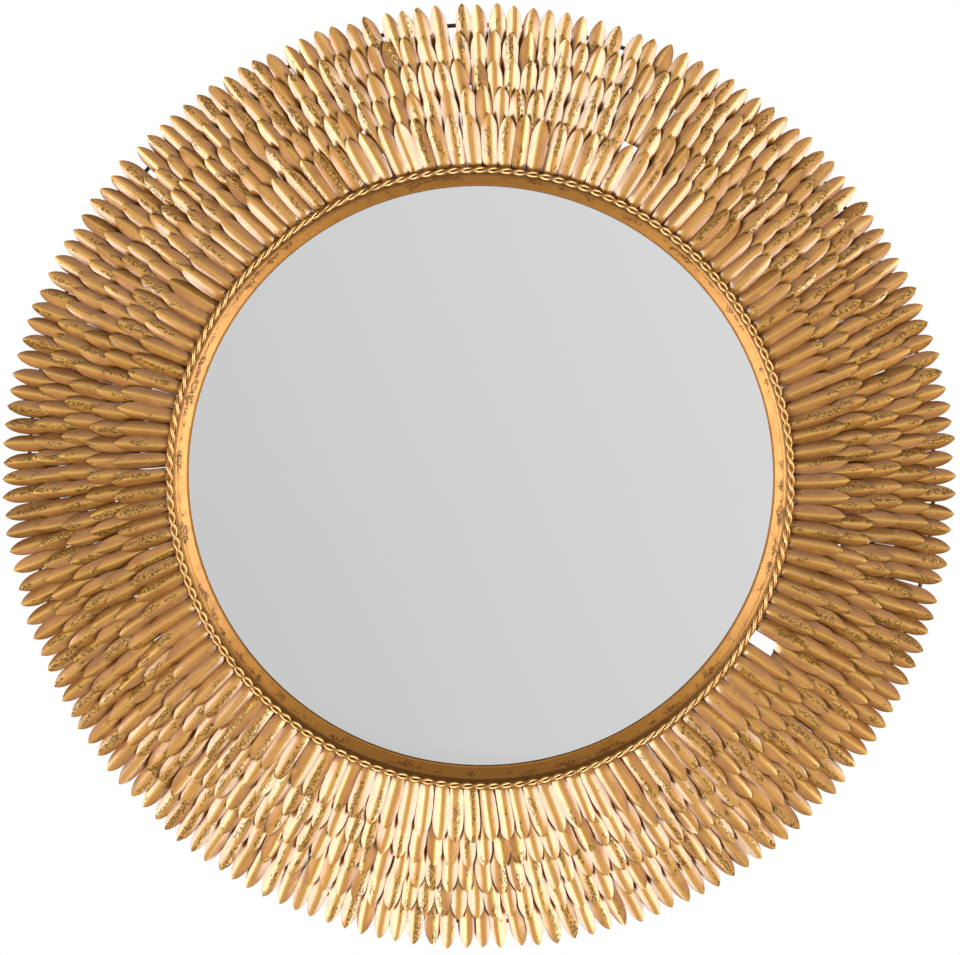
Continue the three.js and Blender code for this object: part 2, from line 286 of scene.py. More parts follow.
def turned(section: Section, segments: int, centre: Vector | None = None) -> Shape:
    """A body turned about the forward axis.

    Args:
        section: Points [radius, depth], anticlockwise with the radius to the right and the depth up. It
            closes on itself, or starts and ends on the axis.
        segments: Steps round the axis.
        centre: A point of the axis, if it isn't the mirror's own.

    Returns:
        The vertices and the faces.
    """
    ring = np.array(section, float)
    solid = ring[0, 0] == 0 and ring[-1, 0] == 0
    if solid:
        start, *ring, end = ring
        ring = np.array(ring)
    count = len(ring)
    angles = np.arange(segments) * 2 * math.pi / segments
    points = (radial(angles)[:, None, :] * ring[:, :1] + FORWARD * ring[:, 1:]).reshape(-1, 3)
    faces = grid_faces(segments, count, True, not solid)
    if solid:
        first, last = len(points), len(points) + 1
        points = np.concatenate([points, [FORWARD * start[1], FORWARD * end[1]]])
        for here, there in zip(range(0, first, count), [*range(count, first, count), 0]):
            faces += [(first, here, there), (last, there + count - 1, here + count - 1)]
    if centre is not None:
        points = points + np.array(centre)
    return points, faces


def tube(path: np.ndarray, radius: float, sides: int, upright: np.ndarray, closed: bool) -> Shape:
    """A round tube along a path.

    Args:
        path: Points along its middle.
        radius: The tube's radius.
        sides: Sides of its section.
        upright: A vector for each point, or one for all, that isn't along the path.
        closed: Whether the path's end joins its start.

    Returns:
        The vertices and the faces.
    """
    if closed:
        along = np.roll(path, -1, axis=0) - np.roll(path, 1, axis=0)
    else:
        along = np.gradient(path, axis=0)
    along /= np.linalg.norm(along, axis=1, keepdims=True)
    upright = np.broadcast_to(upright, path.shape)
    across = np.cross(along, upright)
    across /= np.linalg.norm(across, axis=1, keepdims=True)
    up = np.cross(across, along)
    turn = np.arange(sides) * 2 * math.pi / sides
    ring = up[:, None, :] * np.cos(turn)[None, :, None] + across[:, None, :] * np.sin(turn)[None, :, None]
    points = (path[:, None, :] + radius * ring).reshape(-1, 3)
    faces = grid_faces(len(path), sides, closed, True)
    if not closed:
        faces += [tuple(range(sides)), tuple(reversed(range(len(points) - sides, len(points))))]
    return points, [tuple(reversed(face)) for face in faces]


def ribbon(
    path: np.ndarray, face: np.ndarray, across: np.ndarray, half_widths: np.ndarray, sheet: float
) -> Shape:
    """A strip of sheet that follows a path.

    Args:
        path: Points along the middle of the strip's outer face.
        face: The outward direction of that face at each point.
        across: The direction across the strip.
        half_widths: Half the strip's width at each point.
        sheet: Its thickness.

    Returns:
        The vertices and the faces.
    """
    side = across[None, :] * half_widths[:, None]
    inner = path - face * sheet
    ring = np.stack([path - side, path + side, inner + side, inner - side], axis=1)
    last = 4 * (len(path) - 1)
    ends = [(3, 2, 1, 0), (last, last + 1, last + 2, last + 3)]
    return ring.reshape(-1, 3), grid_faces(len(path), 4, False, True) + ends


def left_normals(flat: np.ndarray) -> np.ndarray:
    """Unit directions to the left of a path in a plane, at its points."""
    steps = np.gradient(flat, axis=0)
    normal = np.stack([-steps[:, 1], steps[:, 0]], axis=1)
    return normal / np.linalg.norm(normal, axis=1, keepdims=True)


def corner_steps(corner: float, steps: int) -> np.ndarray:
    """Distances from a strip's end, out to where its rounded corners start."""
    return corner * (1 - np.cos(np.radians(np.linspace(0, 90, steps + 1))))


def eased_widths(half: float, corner: float, from_end: np.ndarray) -> np.ndarray:
    """Half a strip's width at these distances from an end with rounded corners."""
    inset = np.clip(corner - from_end, 0, corner)
    return half - corner + np.sqrt(corner**2 - inset**2)


def arc(centre: tuple[float, float], radius: float, start: float, end: float, steps: int) -> Section:
    """Points of an arc in a plane.

    Args:
        centre: The arc's centre.
        radius: Its radius.
        start: First angle in degrees, from the plane's first axis towards its second.
        end: Last angle in degrees.
        steps: Number of steps.

    Returns:
        The points from first to last.
    """
    angles = np.radians(np.linspace(start, end, steps + 1))
    return [(centre[0] + radius * math.cos(a), centre[1] + radius * math.sin(a)) for a in angles]


def outward(points: np.ndarray, faces: list[tuple[int, ...]]) -> list[tuple[int, ...]]:
    """The faces, turned round if the closed body that they make has its faces pointing in.

    Args:
        points: The body's vertices.
        faces: The body's faces.

    Returns:
        Faces that point out.
    """
    volume = 0.0
    for face in faces:
        corner = points[face[0]]
        for a, b in zip(face[1:-1], face[2:]):
            volume += float(corner @ np.cross(points[a], points[b]))
    return faces if volume > 0 else [tuple(reversed(face)) for face in faces]


# ---------------------------------------------------------------- shader nodes


class Shade:
    """Adds nodes to a shader tree."""

    def __init__(self, tree: bpy.types.NodeTree) -> None:
        """Keeps the tree to work on."""
        self.tree = tree

    def node(self, kind: str, inputs: dict | None = None, **settings: object) -> bpy.types.Node:
        """Adds a node.

        Args:
            kind: The node's type without its ShaderNode prefix.
            inputs: A value, or a socket to link, for each named or numbered input.
            settings: The node's own settings.

        Returns:
            The node.
        """
        made = self.tree.nodes.new("ShaderNode" + kind)
        for name, value in settings.items():
            setattr(made, name, value)
        self.feed_all(made, inputs or {})
        return made

    def feed_all(self, node: bpy.types.Node, inputs: dict) -> None:
        """Feeds a value or a socket to each named or numbered input of a node."""
        for key, value in inputs.items():
            self.feed(node.inputs[key], value)

    def feed(self, socket: Socket, value: object) -> None:
        """Links a socket to another, or gives it a value or a colour."""
        if isinstance(value, Socket):
            self.tree.links.new(value, socket)
        elif isinstance(value, tuple) and socket.type == "RGBA":
            socket.default_value = (*value, 1.0)
        else:
            socket.default_value = value

    def math(self, operation: str, *values: Socket | float) -> Socket:
        """A sum of one, two or three values, kept from 0 to 1 only where it says so itself."""
        return self.node("Math", dict(enumerate(values)), operation=operation).outputs[0]

    def step(self, value: Socket, low: float | Socket, high: float | Socket) -> Socket:
        """A soft step from 0 at low to 1 at high. It falls where low is over high."""
        inputs = {"Value": value, "From Min": low, "From Max": high}
        return self.node("MapRange", inputs, interpolation_type="SMOOTHSTEP").outputs["Result"]

    def rise(self, value: Socket, low: float | Socket, width: float) -> Socket:
        """A soft step that starts at low and ends a width above it."""
        return self.step(value, low, self.math("ADD", low, width))

    def mix(self, factor: Socket | float, first: Socket | Colour, second: Socket | Colour) -> Socket:
        """A blend of two colours."""
        made = self.node("Mix", {0: factor}, data_type="RGBA")
        self.feed(made.inputs[6], first)
        self.feed(made.inputs[7], second)
        return made.outputs[2]

    def blend(self, factor: Socket | float, first: Socket | float, second: Socket | float) -> Socket:
        """A blend of two numbers."""
        return self.node("Mix", {0: factor, 2: first, 3: second}, data_type="FLOAT").outputs[0]

    def noise(self, place: Socket, scale: Socket | float, detail: float, roughness: float = 0.5) -> Socket:
        """Cloudy noise about 0.5."""
        inputs = {"Vector": place, "Scale": scale, "Detail": detail, "Roughness": roughness}
        return self.node("TexNoise", inputs).outputs["Fac"]

    def bump(self, height: Socket, strength: float, distance: float) -> Socket:
        """The normal of a surface with this relief."""
        return self.node("Bump", {"Height": height, "Strength": strength, "Distance": distance}).outputs[0]

    def attribute(self, name: str, output: str = "Fac") -> Socket:
        """A value that the mesh holds for each vertex."""
        return self.node("Attribute", attribute_name=name).outputs[output]


class Effect:
    """A node group that several materials use."""

    name = ""
    inputs: tuple[tuple[str, str, float], ...] = ()
    outputs: tuple[str, ...] = ()

    @classmethod
    def group(cls) -> bpy.types.NodeTree:
        """The group's tree, made at its first use."""
        if made := bpy.data.node_groups.get(cls.name):
            return made
        tree = bpy.data.node_groups.new(cls.name, "ShaderNodeTree")
        for name, kind, default in cls.inputs:
            socket = tree.interface.new_socket(name=name, in_out="INPUT", socket_type="NodeSocket" + kind)
            if kind == "Float":
                socket.default_value = default
        for name in cls.outputs:
            tree.interface.new_socket(name=name, in_out="OUTPUT", socket_type="NodeSocketFloat")
        shade = Shade(tree)
        source = tree.nodes.new("NodeGroupInput")
        sink = tree.nodes.new("NodeGroupOutput")
        results = cls.draw(shade, source.outputs)
        for name, value in zip(cls.outputs, results):
            tree.links.new(value, sink.inputs[name])
        return tree

    @classmethod
    def draw(cls, shade: Shade, given: bpy.types.bpy_prop_collection) -> tuple[Socket, ...]:
        """Adds the group's nodes.

        Args:
            shade: The group's tree.
            given: The group's input sockets.

        Returns:
            One socket for each output.
        """
        raise NotImplementedError

    @classmethod
    def use(cls, shade: Shade, values: dict[str, object]) -> dict[str, Socket]:
        """Puts the group in a material.

        Args:
            shade: The material's tree.
            values: A value or a socket for each named input.

        Returns:
            The group's outputs by name.
        """
        node = shade.tree.nodes.new("ShaderNodeGroup")
        node.node_tree = cls.group()
        shade.feed_all(node, values)
        return {name: node.outputs[name] for name in cls.outputs}


class FoilWear(Effect):
    """Worn places where the paint is rubbed back to yellow foil, with dark specks in their hearts.

    Reach is how close a point is to where hands and cloths rub. Amount is how worn the whole leaf is.
    """

    name = "foil_wear"
    inputs = (
        ("Place", "Vector", 0),
        ("Reach", "Float", 0.5),
        ("Amount", "Float", 0.5),
        ("Foil Cut", "Float", 0.9),
        ("Speck Cut", "Float", 0.8),
        ("Patch Scale", "Float", 70),
        ("Speck Scale", "Float", 700),
    )
    outputs = ("Foil", "Speck")
    reach_push = 0.42
    fray = 0.3
    foil_fade = 0.12
    heart_fade = 0.14
    speck_level = 0.665
    speck_level_drop = 0.21
    speck_fade = 0.05

    @classmethod
    def draw(cls, shade: Shade, given: bpy.types.bpy_prop_collection) -> tuple[Socket, ...]:
        """Adds the group's nodes and returns its foil and speck masks."""
        patches = shade.noise(given["Place"], given["Patch Scale"], 3, 0.6)
        grit = shade.noise(given["Place"], given["Speck Scale"], 4, 0.7)
        reached = shade.math("MULTIPLY", given["Reach"], given["Amount"])
        worn = shade.math("MULTIPLY_ADD", reached, cls.reach_push, patches)
        frayed = shade.math("MULTIPLY_ADD", grit, cls.fray, worn)
        foil = shade.rise(frayed, given["Foil Cut"], cls.foil_fade)
        heart = shade.rise(worn, given["Speck Cut"], cls.heart_fade)
        level = shade.math("MULTIPLY_ADD", heart, -cls.speck_level_drop, cls.speck_level)
        return foil, shade.math("MULTIPLY", shade.rise(grit, level, cls.speck_fade), heart)


class SatinGrain(Effect):
    """The slight unevenness of a sprayed, rubbed or rolled surface."""

    name = "satin_grain"
    inputs = (("Place", "Vector", 0), ("Fine Scale", "Float", 900), ("Broad Scale", "Float", 60))
    outputs = ("Height", "Fine", "Broad")
    broad_height = 3.0

    @classmethod
    def draw(cls, shade: Shade, given: bpy.types.bpy_prop_collection) -> tuple[Socket, ...]:
        """Adds the group's nodes and returns a height and its fine and broad noise."""
        fine = shade.noise(given["Place"], given["Fine Scale"], 3, 0.6)
        broad = shade.noise(given["Place"], given["Broad Scale"], 2)
        return shade.math("MULTIPLY_ADD", broad, cls.broad_height, fine), fine, broad


class EdgeTarnish(Effect):
    """Darker metal where Edge comes near 1, broken up by noise: tarnish and painted shade alike."""

    name = "edge_tarnish"
    inputs = (("Place", "Vector", 0), ("Edge", "Float", 0), ("Scale", "Float", 400))
    outputs = ("Tarnish",)
    raggedness = 0.4
    fade = 0.25

    @classmethod
    def draw(cls, shade: Shade, given: bpy.types.bpy_prop_collection) -> tuple[Socket, ...]:
        """Adds the group's nodes and returns the mask of tarnish and painted shade."""
        ragged = shade.noise(given["Place"], given["Scale"], 2)
        edge = shade.math("MULTIPLY_ADD", ragged, cls.raggedness, given["Edge"])
        return (shade.step(edge, 1.0, 1.0 + cls.fade),)


# ---------------------------------------------------------------- finishes


def new_material(name: str) -> tuple[Material, Shade, bpy.types.Node]:
    """An empty material with a Principled shader.

    Args:
        name: The material's name.

    Returns:
        The material, its tree and its shader.
    """
    material = bpy.data.materials.new(name)
    material.use_nodes = True
    material.node_tree.nodes.clear()
    shade = Shade(material.node_tree)
    shader = shade.node("BsdfPrincipled")
    shade.node("OutputMaterial", {"Surface": shader.outputs[0]})
    return material, shade, shader


@dataclass(frozen=True)
class GiltFinish:
    """Champagne-gold paint over yellow foil over dark metal, under a clear lacquer.

    Args:
        name: The material's name.
        paint: The main paint.
        paint_thin: The darker paint, in clouds and towards a leaf's rim.
        thin_range: Values of clouds and rim between which the paint turns to it.
        thin_rim: How much darker the paint turns towards a leaf's rim.
        foil: Yellow foil that shows through.
        worn: Foil rubbed bright along a fold.
        worn_range: Grain between which the fold's brightness is broken up.
        speck: Dark specks.
        cover: How fully foil and specks cover what is below.
        tarnish: Tarnished cut edges and dirty roots, with painted shade: where leaves meet, at roots that the
            rope or the row before covers, and the bezel's shadows beside the rope and at the lip.
        roughness: The paint's mean roughness.
        roughness_clouds: How far it varies.
        foil_smoother: How much smoother foil is than paint.
        fold_smoother: How much smoother a fold is.
        speck_roughness: A speck's roughness.
        foil_cut: How hard it is for foil to show.
        speck_cut: How hard it is for specks to show.
        patch_scale: Patches in a metre.
        speck_scale: Specks in a metre.
        fine_scale: Grain in a metre.
        broad_scale: Clouds in a metre.
        relief: Height of the grain.
        relief_strength: How strongly the grain tilts the surface.
        speck_depth: How far specks lie below the grain, in its heights.
        coat: Weight of the clear lacquer.
        coat_on_speck: Share of it that a speck keeps. Tarnish and painted shade keep none.
        coat_roughness: The lacquer's roughness.
        coat_ior: The lacquer's refraction.
    """

    name: str
    paint: Colour = (0.385, 0.158, 0.024)
    paint_thin: Colour = (0.27, 0.097, 0.016)
    thin_range: tuple[float, float] = (0.42, 0.8)
    thin_rim: float = 0.4
    foil: Colour = (0.47, 0.225, 0.024)
    worn: Colour = (0.57, 0.305, 0.036)
    worn_range: tuple[float, float] = (0.25, 0.5)
    speck: Colour = (0.1, 0.034, 0.009)
    cover: float = 0.85
    tarnish: Colour = (0.09, 0.04, 0.018)
    roughness: float = 0.55
    roughness_clouds: float = 0.16
    foil_smoother: float = 0.06
    fold_smoother: float = 0.14
    speck_roughness: float = 0.7
    foil_cut: float = 0.76
    speck_cut: float = 0.62
    patch_scale: float = 90.0
    speck_scale: float = 740.0
    fine_scale: float = 1500.0
    broad_scale: float = 90.0
    relief: float = 0.05 * MM
    relief_strength: float = 0.25
    speck_depth: float = 2.0
    coat: float = 1.0
    coat_on_speck: float = 0.5
    coat_roughness: float = 0.2
    coat_ior: float = 1.82

    def build(self) -> Material:
        """Makes the material. The mesh holds place, wear, ridge, rim, edge and luck for each vertex."""
        material, shade, shader = new_material(self.name)
        place = shade.attribute("place", "Vector")
        grain = SatinGrain.use(
            shade, {"Place": place, "Fine Scale": self.fine_scale, "Broad Scale": self.broad_scale}
        )
        wear = {
            "Place": place,
            "Reach": shade.attribute("wear"),
            "Amount": shade.attribute("luck"),
            "Foil Cut": self.foil_cut,
            "Speck Cut": self.speck_cut,
            "Patch Scale": self.patch_scale,
            "Speck Scale": self.speck_scale,
        }
        foil, speck = FoilWear.use(shade, wear).values()
        # Painted shade: this mask also darkens where leaves meet, shaded roots, and the bezel beside the rope
        # and at the lip.
        tarnish = EdgeTarnish.use(shade, {"Place": place, "Edge": shade.attribute("edge")})["Tarnish"]
        fold = shade.math("MULTIPLY", shade.attribute("ridge"), shade.step(grain["Fine"], *self.worn_range))
        # Darker paint in broad clouds and towards a leaf's rim.
        darkening = shade.math("MULTIPLY_ADD", shade.attribute("rim"), self.thin_rim, grain["Broad"])

        colour = shade.mix(shade.step(darkening, *self.thin_range), self.paint, self.paint_thin)
        for mask, layer in (
            (shade.math("MULTIPLY", foil, self.cover), self.foil),
            (fold, self.worn),
            (tarnish, self.tarnish),
            (shade.math("MULTIPLY", speck, self.cover), self.speck),
        ):
            colour = shade.mix(mask, colour, layer)
        smoothest = self.roughness - self.roughness_clouds / 2
        rough = shade.math("MULTIPLY_ADD", grain["Broad"], self.roughness_clouds, smoothest)
        for mask, layer in (
            (foil, self.roughness - self.foil_smoother),
            (fold, self.roughness - self.fold_smoother),
            (speck, self.speck_roughness),
        ):
            rough = shade.blend(mask, rough, layer)
        # Where tarnish and painted shade lie, the lacquer goes, so no reflection shows there.
        lacquer = shade.blend(tarnish, shade.blend(speck, self.coat, self.coat_on_speck * self.coat), 0.0)
        shade.feed_all(
            shader,
            {
                "Base Color": colour,
                "Roughness": rough,
                "Metallic": 1.0,
                "Coat Weight": lacquer,
                "Coat Roughness": self.coat_roughness,
                "Coat IOR": self.coat_ior,
                "Normal": shade.bump(
                    shade.math("MULTIPLY_ADD", speck, -self.speck_depth, grain["Height"]),
                    self.relief_strength,
                    self.relief,
                ),
            },
        )
        return material


@dataclass(frozen=True)
class SteelFinish:
    """Bare, plated or painted steel, with stains.

    Args:
        name: The material's name.
        colour: The clean surface.
        stain: The stained surface.
        roughness: The clean surface's mean roughness.
        metallic: How much of the surface is bare metal.
        stain_amount: How much of it is stained.
        stain_cut: How hard it is for stains to show.
        stain_rougher: How much rougher a stain is.
        patch_scale: Stains in a metre.
        speck_scale: Frayed bits in a metre.
        clouds: How much of the stain's colour the clouds carry.
        clear: How much of them stays clear.
        grit: How far the roughness varies.
        fine_scale: Grain in a metre.
        broad_scale: Clouds in a metre.
        relief: Height of the grain.
        relief_strength: How strongly the grain tilts the surface.
    """

    name: str
    colour: Colour
    stain: Colour
    roughness: float
    metallic: float
    stain_amount: float
    stain_cut: float = 0.9
    stain_rougher: float = 0.2
    patch_scale: float = 90.0
    speck_scale: float = 900.0
    clouds: float = 0.35
    clear: float = 0.05
    grit: float = 0.2
    fine_scale: float = 1200.0
    broad_scale: float = 120.0
    relief: float = 0.05 * MM
    relief_strength: float = 0.3

    def build(self) -> Material:
        """Makes the material."""
        material, shade, shader = new_material(self.name)
        place = shade.node("TexCoord").outputs["Object"]
        grain = SatinGrain.use(
            shade, {"Place": place, "Fine Scale": self.fine_scale, "Broad Scale": self.broad_scale}
        )
        wear = {
            "Place": place,
            "Reach": 1.0,
            "Amount": self.stain_amount,
            "Foil Cut": self.stain_cut,
            "Patch Scale": self.patch_scale,
            "Speck Scale": self.speck_scale,
        }
        stains = FoilWear.use(shade, wear)["Foil"]
        dull = shade.math("MULTIPLY_ADD", grain["Broad"], self.clouds, -self.clear)
        colour = shade.mix(stains, shade.mix(dull, self.colour, self.stain), self.stain)
        rough = shade.math("MULTIPLY_ADD", grain["Fine"], self.grit, self.roughness - self.grit / 2)
        shade.feed_all(
            shader,
            {
                "Base Color": colour,
                "Metallic": self.metallic,
                "Roughness": shade.blend(stains, rough, self.roughness + self.stain_rougher),
                "Normal": shade.bump(grain["Height"], self.relief_strength, self.relief),
            },
        )
        return material


@dataclass(frozen=True)
class MattFinish:
    """Rubber, back paint or pressed board.

    Args:
        name: The material's name.
        colour: The main colour.
        fleck: The colour of its flecks.
        roughness: The surface's mean roughness.
        fine_scale: Flecks in a metre.
        broad_scale: Clouds in a metre.
        fleck_range: Grain between which flecks come up.
        clouds: How much of the flecks' colour the clouds carry.
        grit: How far the roughness varies.
        relief: Height of the grain.
        relief_strength: How strongly the grain tilts the surface.
    """

    name: str
    colour: Colour
    fleck: Colour
    roughness: float
    fine_scale: float
    broad_scale: float = 25.0
    fleck_range: tuple[float, float] = (0.5, 0.66)
    clouds: float = 0.4
    grit: float = 0.2
    relief: float = 0.05 * MM
    relief_strength: float = 0.5

    def build(self) -> Material:
        """Makes the material."""
        material, shade, shader = new_material(self.name)
        place = shade.node("TexCoord").outputs["Object"]
        grain = SatinGrain.use(
            shade, {"Place": place, "Fine Scale": self.fine_scale, "Broad Scale": self.broad_scale}
        )
        flecks = shade.step(grain["Fine"], *self.fleck_range)
        clouds = shade.math("MULTIPLY", grain["Broad"], self.clouds)
        smoothest = self.roughness - self.grit / 2
        shade.feed_all(
            shader,
            {
                "Base Color": shade.mix(shade.math("MAXIMUM", flecks, clouds), self.colour, self.fleck),
                "Roughness": shade.math("MULTIPLY_ADD", grain["Fine"], self.grit, smoothest),
                "Normal": shade.bump(grain["Height"], self.relief_strength, self.relief),
            },
        )
        return material


@dataclass(frozen=True)
class MirrorFinish:
    """Silvered glass, slightly grey and unevenly polished.

    Args:
        name: The material's name.
        silver: The silver's reflectance.
        shaded: Share of it that is left where clouds are darkest.
        clouds: How strong the clouds are.
        haze: Roughness where the polish is dull.
        fine_scale: Dull places in a metre.
        broad_scale: Clouds in a metre.
    """

    name: str = "silvered_mirror"
    silver: Colour = (0.945, 0.95, 0.95)
    shaded: float = 0.8
    clouds: float = 0.03
    haze: float = 0.02
    fine_scale: float = 140.0
    broad_scale: float = 4.0

    def build(self) -> Material:
        """Makes the material."""
        material, shade, shader = new_material(self.name)
        place = shade.node("TexCoord").outputs["Object"]
        grain = SatinGrain.use(
            shade, {"Place": place, "Fine Scale": self.fine_scale, "Broad Scale": self.broad_scale}
        )
        tone = shade.math("MULTIPLY", grain["Broad"], self.clouds)
        darker = tuple(self.shaded * value for value in self.silver)
        shade.feed_all(
            shader,
            {
                "Base Color": shade.mix(tone, self.silver, darker),
                "Roughness": shade.math("MULTIPLY", grain["Fine"], self.haze),
                "Metallic": 1.0,
            },
        )
        return material


# ---------------------------------------------------------------- dressing pieces


def dress(piece: bpy.types.Object, nodes: list[str], body: str = FRAME_BODY) -> bpy.types.Object:
    """Lets a piece stand for nodes of the frame and ride on a body.

    Args:
        piece: The piece.
        nodes: The nodes that it stands for.
        body: The body that it rides on.

    Returns:
        The piece.
    """
    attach(piece, body)
    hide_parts(*nodes)
    LOG.info("%s: %d faces, for %s", piece.name, len(piece.data.polygons), ", ".join(nodes))
    return piece


def solid_piece(
    name: str,
    shape: Shape,
    finish: Material,
    node: str,
    body: str = FRAME_BODY,
    bevel: float = 0.0,
) -> bpy.types.Object:
    """Makes and dresses a piece of one closed body and one finish.

    Args:
        name: The piece's name.
        shape: Its vertices and faces, which may point in.
        finish: Its material.
        node: The node that it stands for.
        body: The body that it rides on.
        bevel: Width of the rounding on sharp edges.

    Returns:
        The piece.
    """
    points, faces = shape
    stock = MeshStock()
    stock.add(points, outward(points, faces))
    return dress(stock.build(name, [finish], bevel), [node], body)


def plain_values(points: np.ndarray, wear: np.ndarray | float, luck: float) -> dict[str, np.ndarray]:
    """What a gilt finish reads from a mesh that has no folds or cut edges.

    Args:
        points: The vertices.
        wear: How easily each is rubbed.
        luck: How worn the whole is.

    Returns:
        Values for each vertex by name.
    """
    count = len(points)
    none = dict.fromkeys(("ridge", "rim", "edge"), np.zeros(count))
    return {"place": points, "wear": np.broadcast_to(wear, count), "luck": np.full(count, luck), **none}


@dataclass(frozen=True)
class LeafSpread:
    """How far leaves of a row differ, each as a standard deviation.

    Args:
        place: Share of the pitch by which a leaf stands off its place.
        place_most: The most of it.
        length: Length.
        width: Width, as a share.
        skew: The fold's distance from the middle, as a share of half the width.
        fold: Height of the fold, as a share.
        droop: Droop, as a share.
        tip: The tip's distance to one side.
        roll: Roll, and twist from root to tip, in degrees.
        pitch: Pitch in degrees.
        lean: Lean in degrees.
        root: The root's distance in or out.
        limit: How many standard deviations a leaf may differ.
    """

    place: float = 0.03
    place_most: float = 0.06
    length: float = 0.8 * MM
    width: float = 0.02
    skew: float = 0.11
    fold: float = 0.1
    droop: float = 0.5
    tip: float = 0.4 * MM
    roll: float = 5.0
    pitch: float = 0.7
    lean: float = 0.9
    root: float = 0.5 * MM
    limit: float = 2.2


@dataclass(frozen=True)
class LeafWear:
    """Where a leaf's gilding is rubbed, bright or dirty.

    Args:
        luck: Shape of the beta draw of how worn a leaf is.
        left_chance: Chance that the left panel is the more worn one.
        beside: Least and greatest distance of that wear from the fold.
        reach: How far the wear reaches.
        ridge: Half width of the bright line along the fold.
        core: How strong wear and line are at their middle, before they are cut off at 1.
        root_wear: Wear at the root. It grows to 1 along the leaf.
        rim_from: Share of half the width at which the darker rim starts: a tarnished cut edge, partly painted
            shade where neighbouring leaves meet.
        root_dirt: How dark the root is, partly dirt and partly painted shade where the rope or the row before
            covers it.
        root_dirt_reach: Share of the length over which that fades.
        root_dirt_power: How soon it fades.
        patch_stretch: How far worn patches are drawn out along a leaf, as a share.
        apart: Greatest distance of two leaves' noise.
    """

    luck: tuple[float, float] = (1.5, 1.7)
    left_chance: float = 0.6
    beside: tuple[float, float] = (0.8, 2.6)
    reach: float = 4.2 * MM
    ridge: float = 1.15 * MM
    core: float = 1.25
    root_wear: float = 0.55
    rim_from: float = 0.8
    root_dirt: float = 0.8
    root_dirt_reach: float = 0.16
    root_dirt_power: float = 0.7
    patch_stretch: float = 0.5
    apart: float = 20.0


@dataclass
class LeafGrid:
    """All leaves of a row, as arrays that fit together as [leaf, station, section point].

    Args:
        along: Share of the length from the root.
        across: Share of half the width, from -1 to 1.
        length: Each leaf's length.
        half: Half its width.
        from_fold: Distance from the fold, as a share of half the width.
    """

    along: np.ndarray
    across: np.ndarray
    length: np.ndarray
    half: np.ndarray
    from_fold: np.ndarray


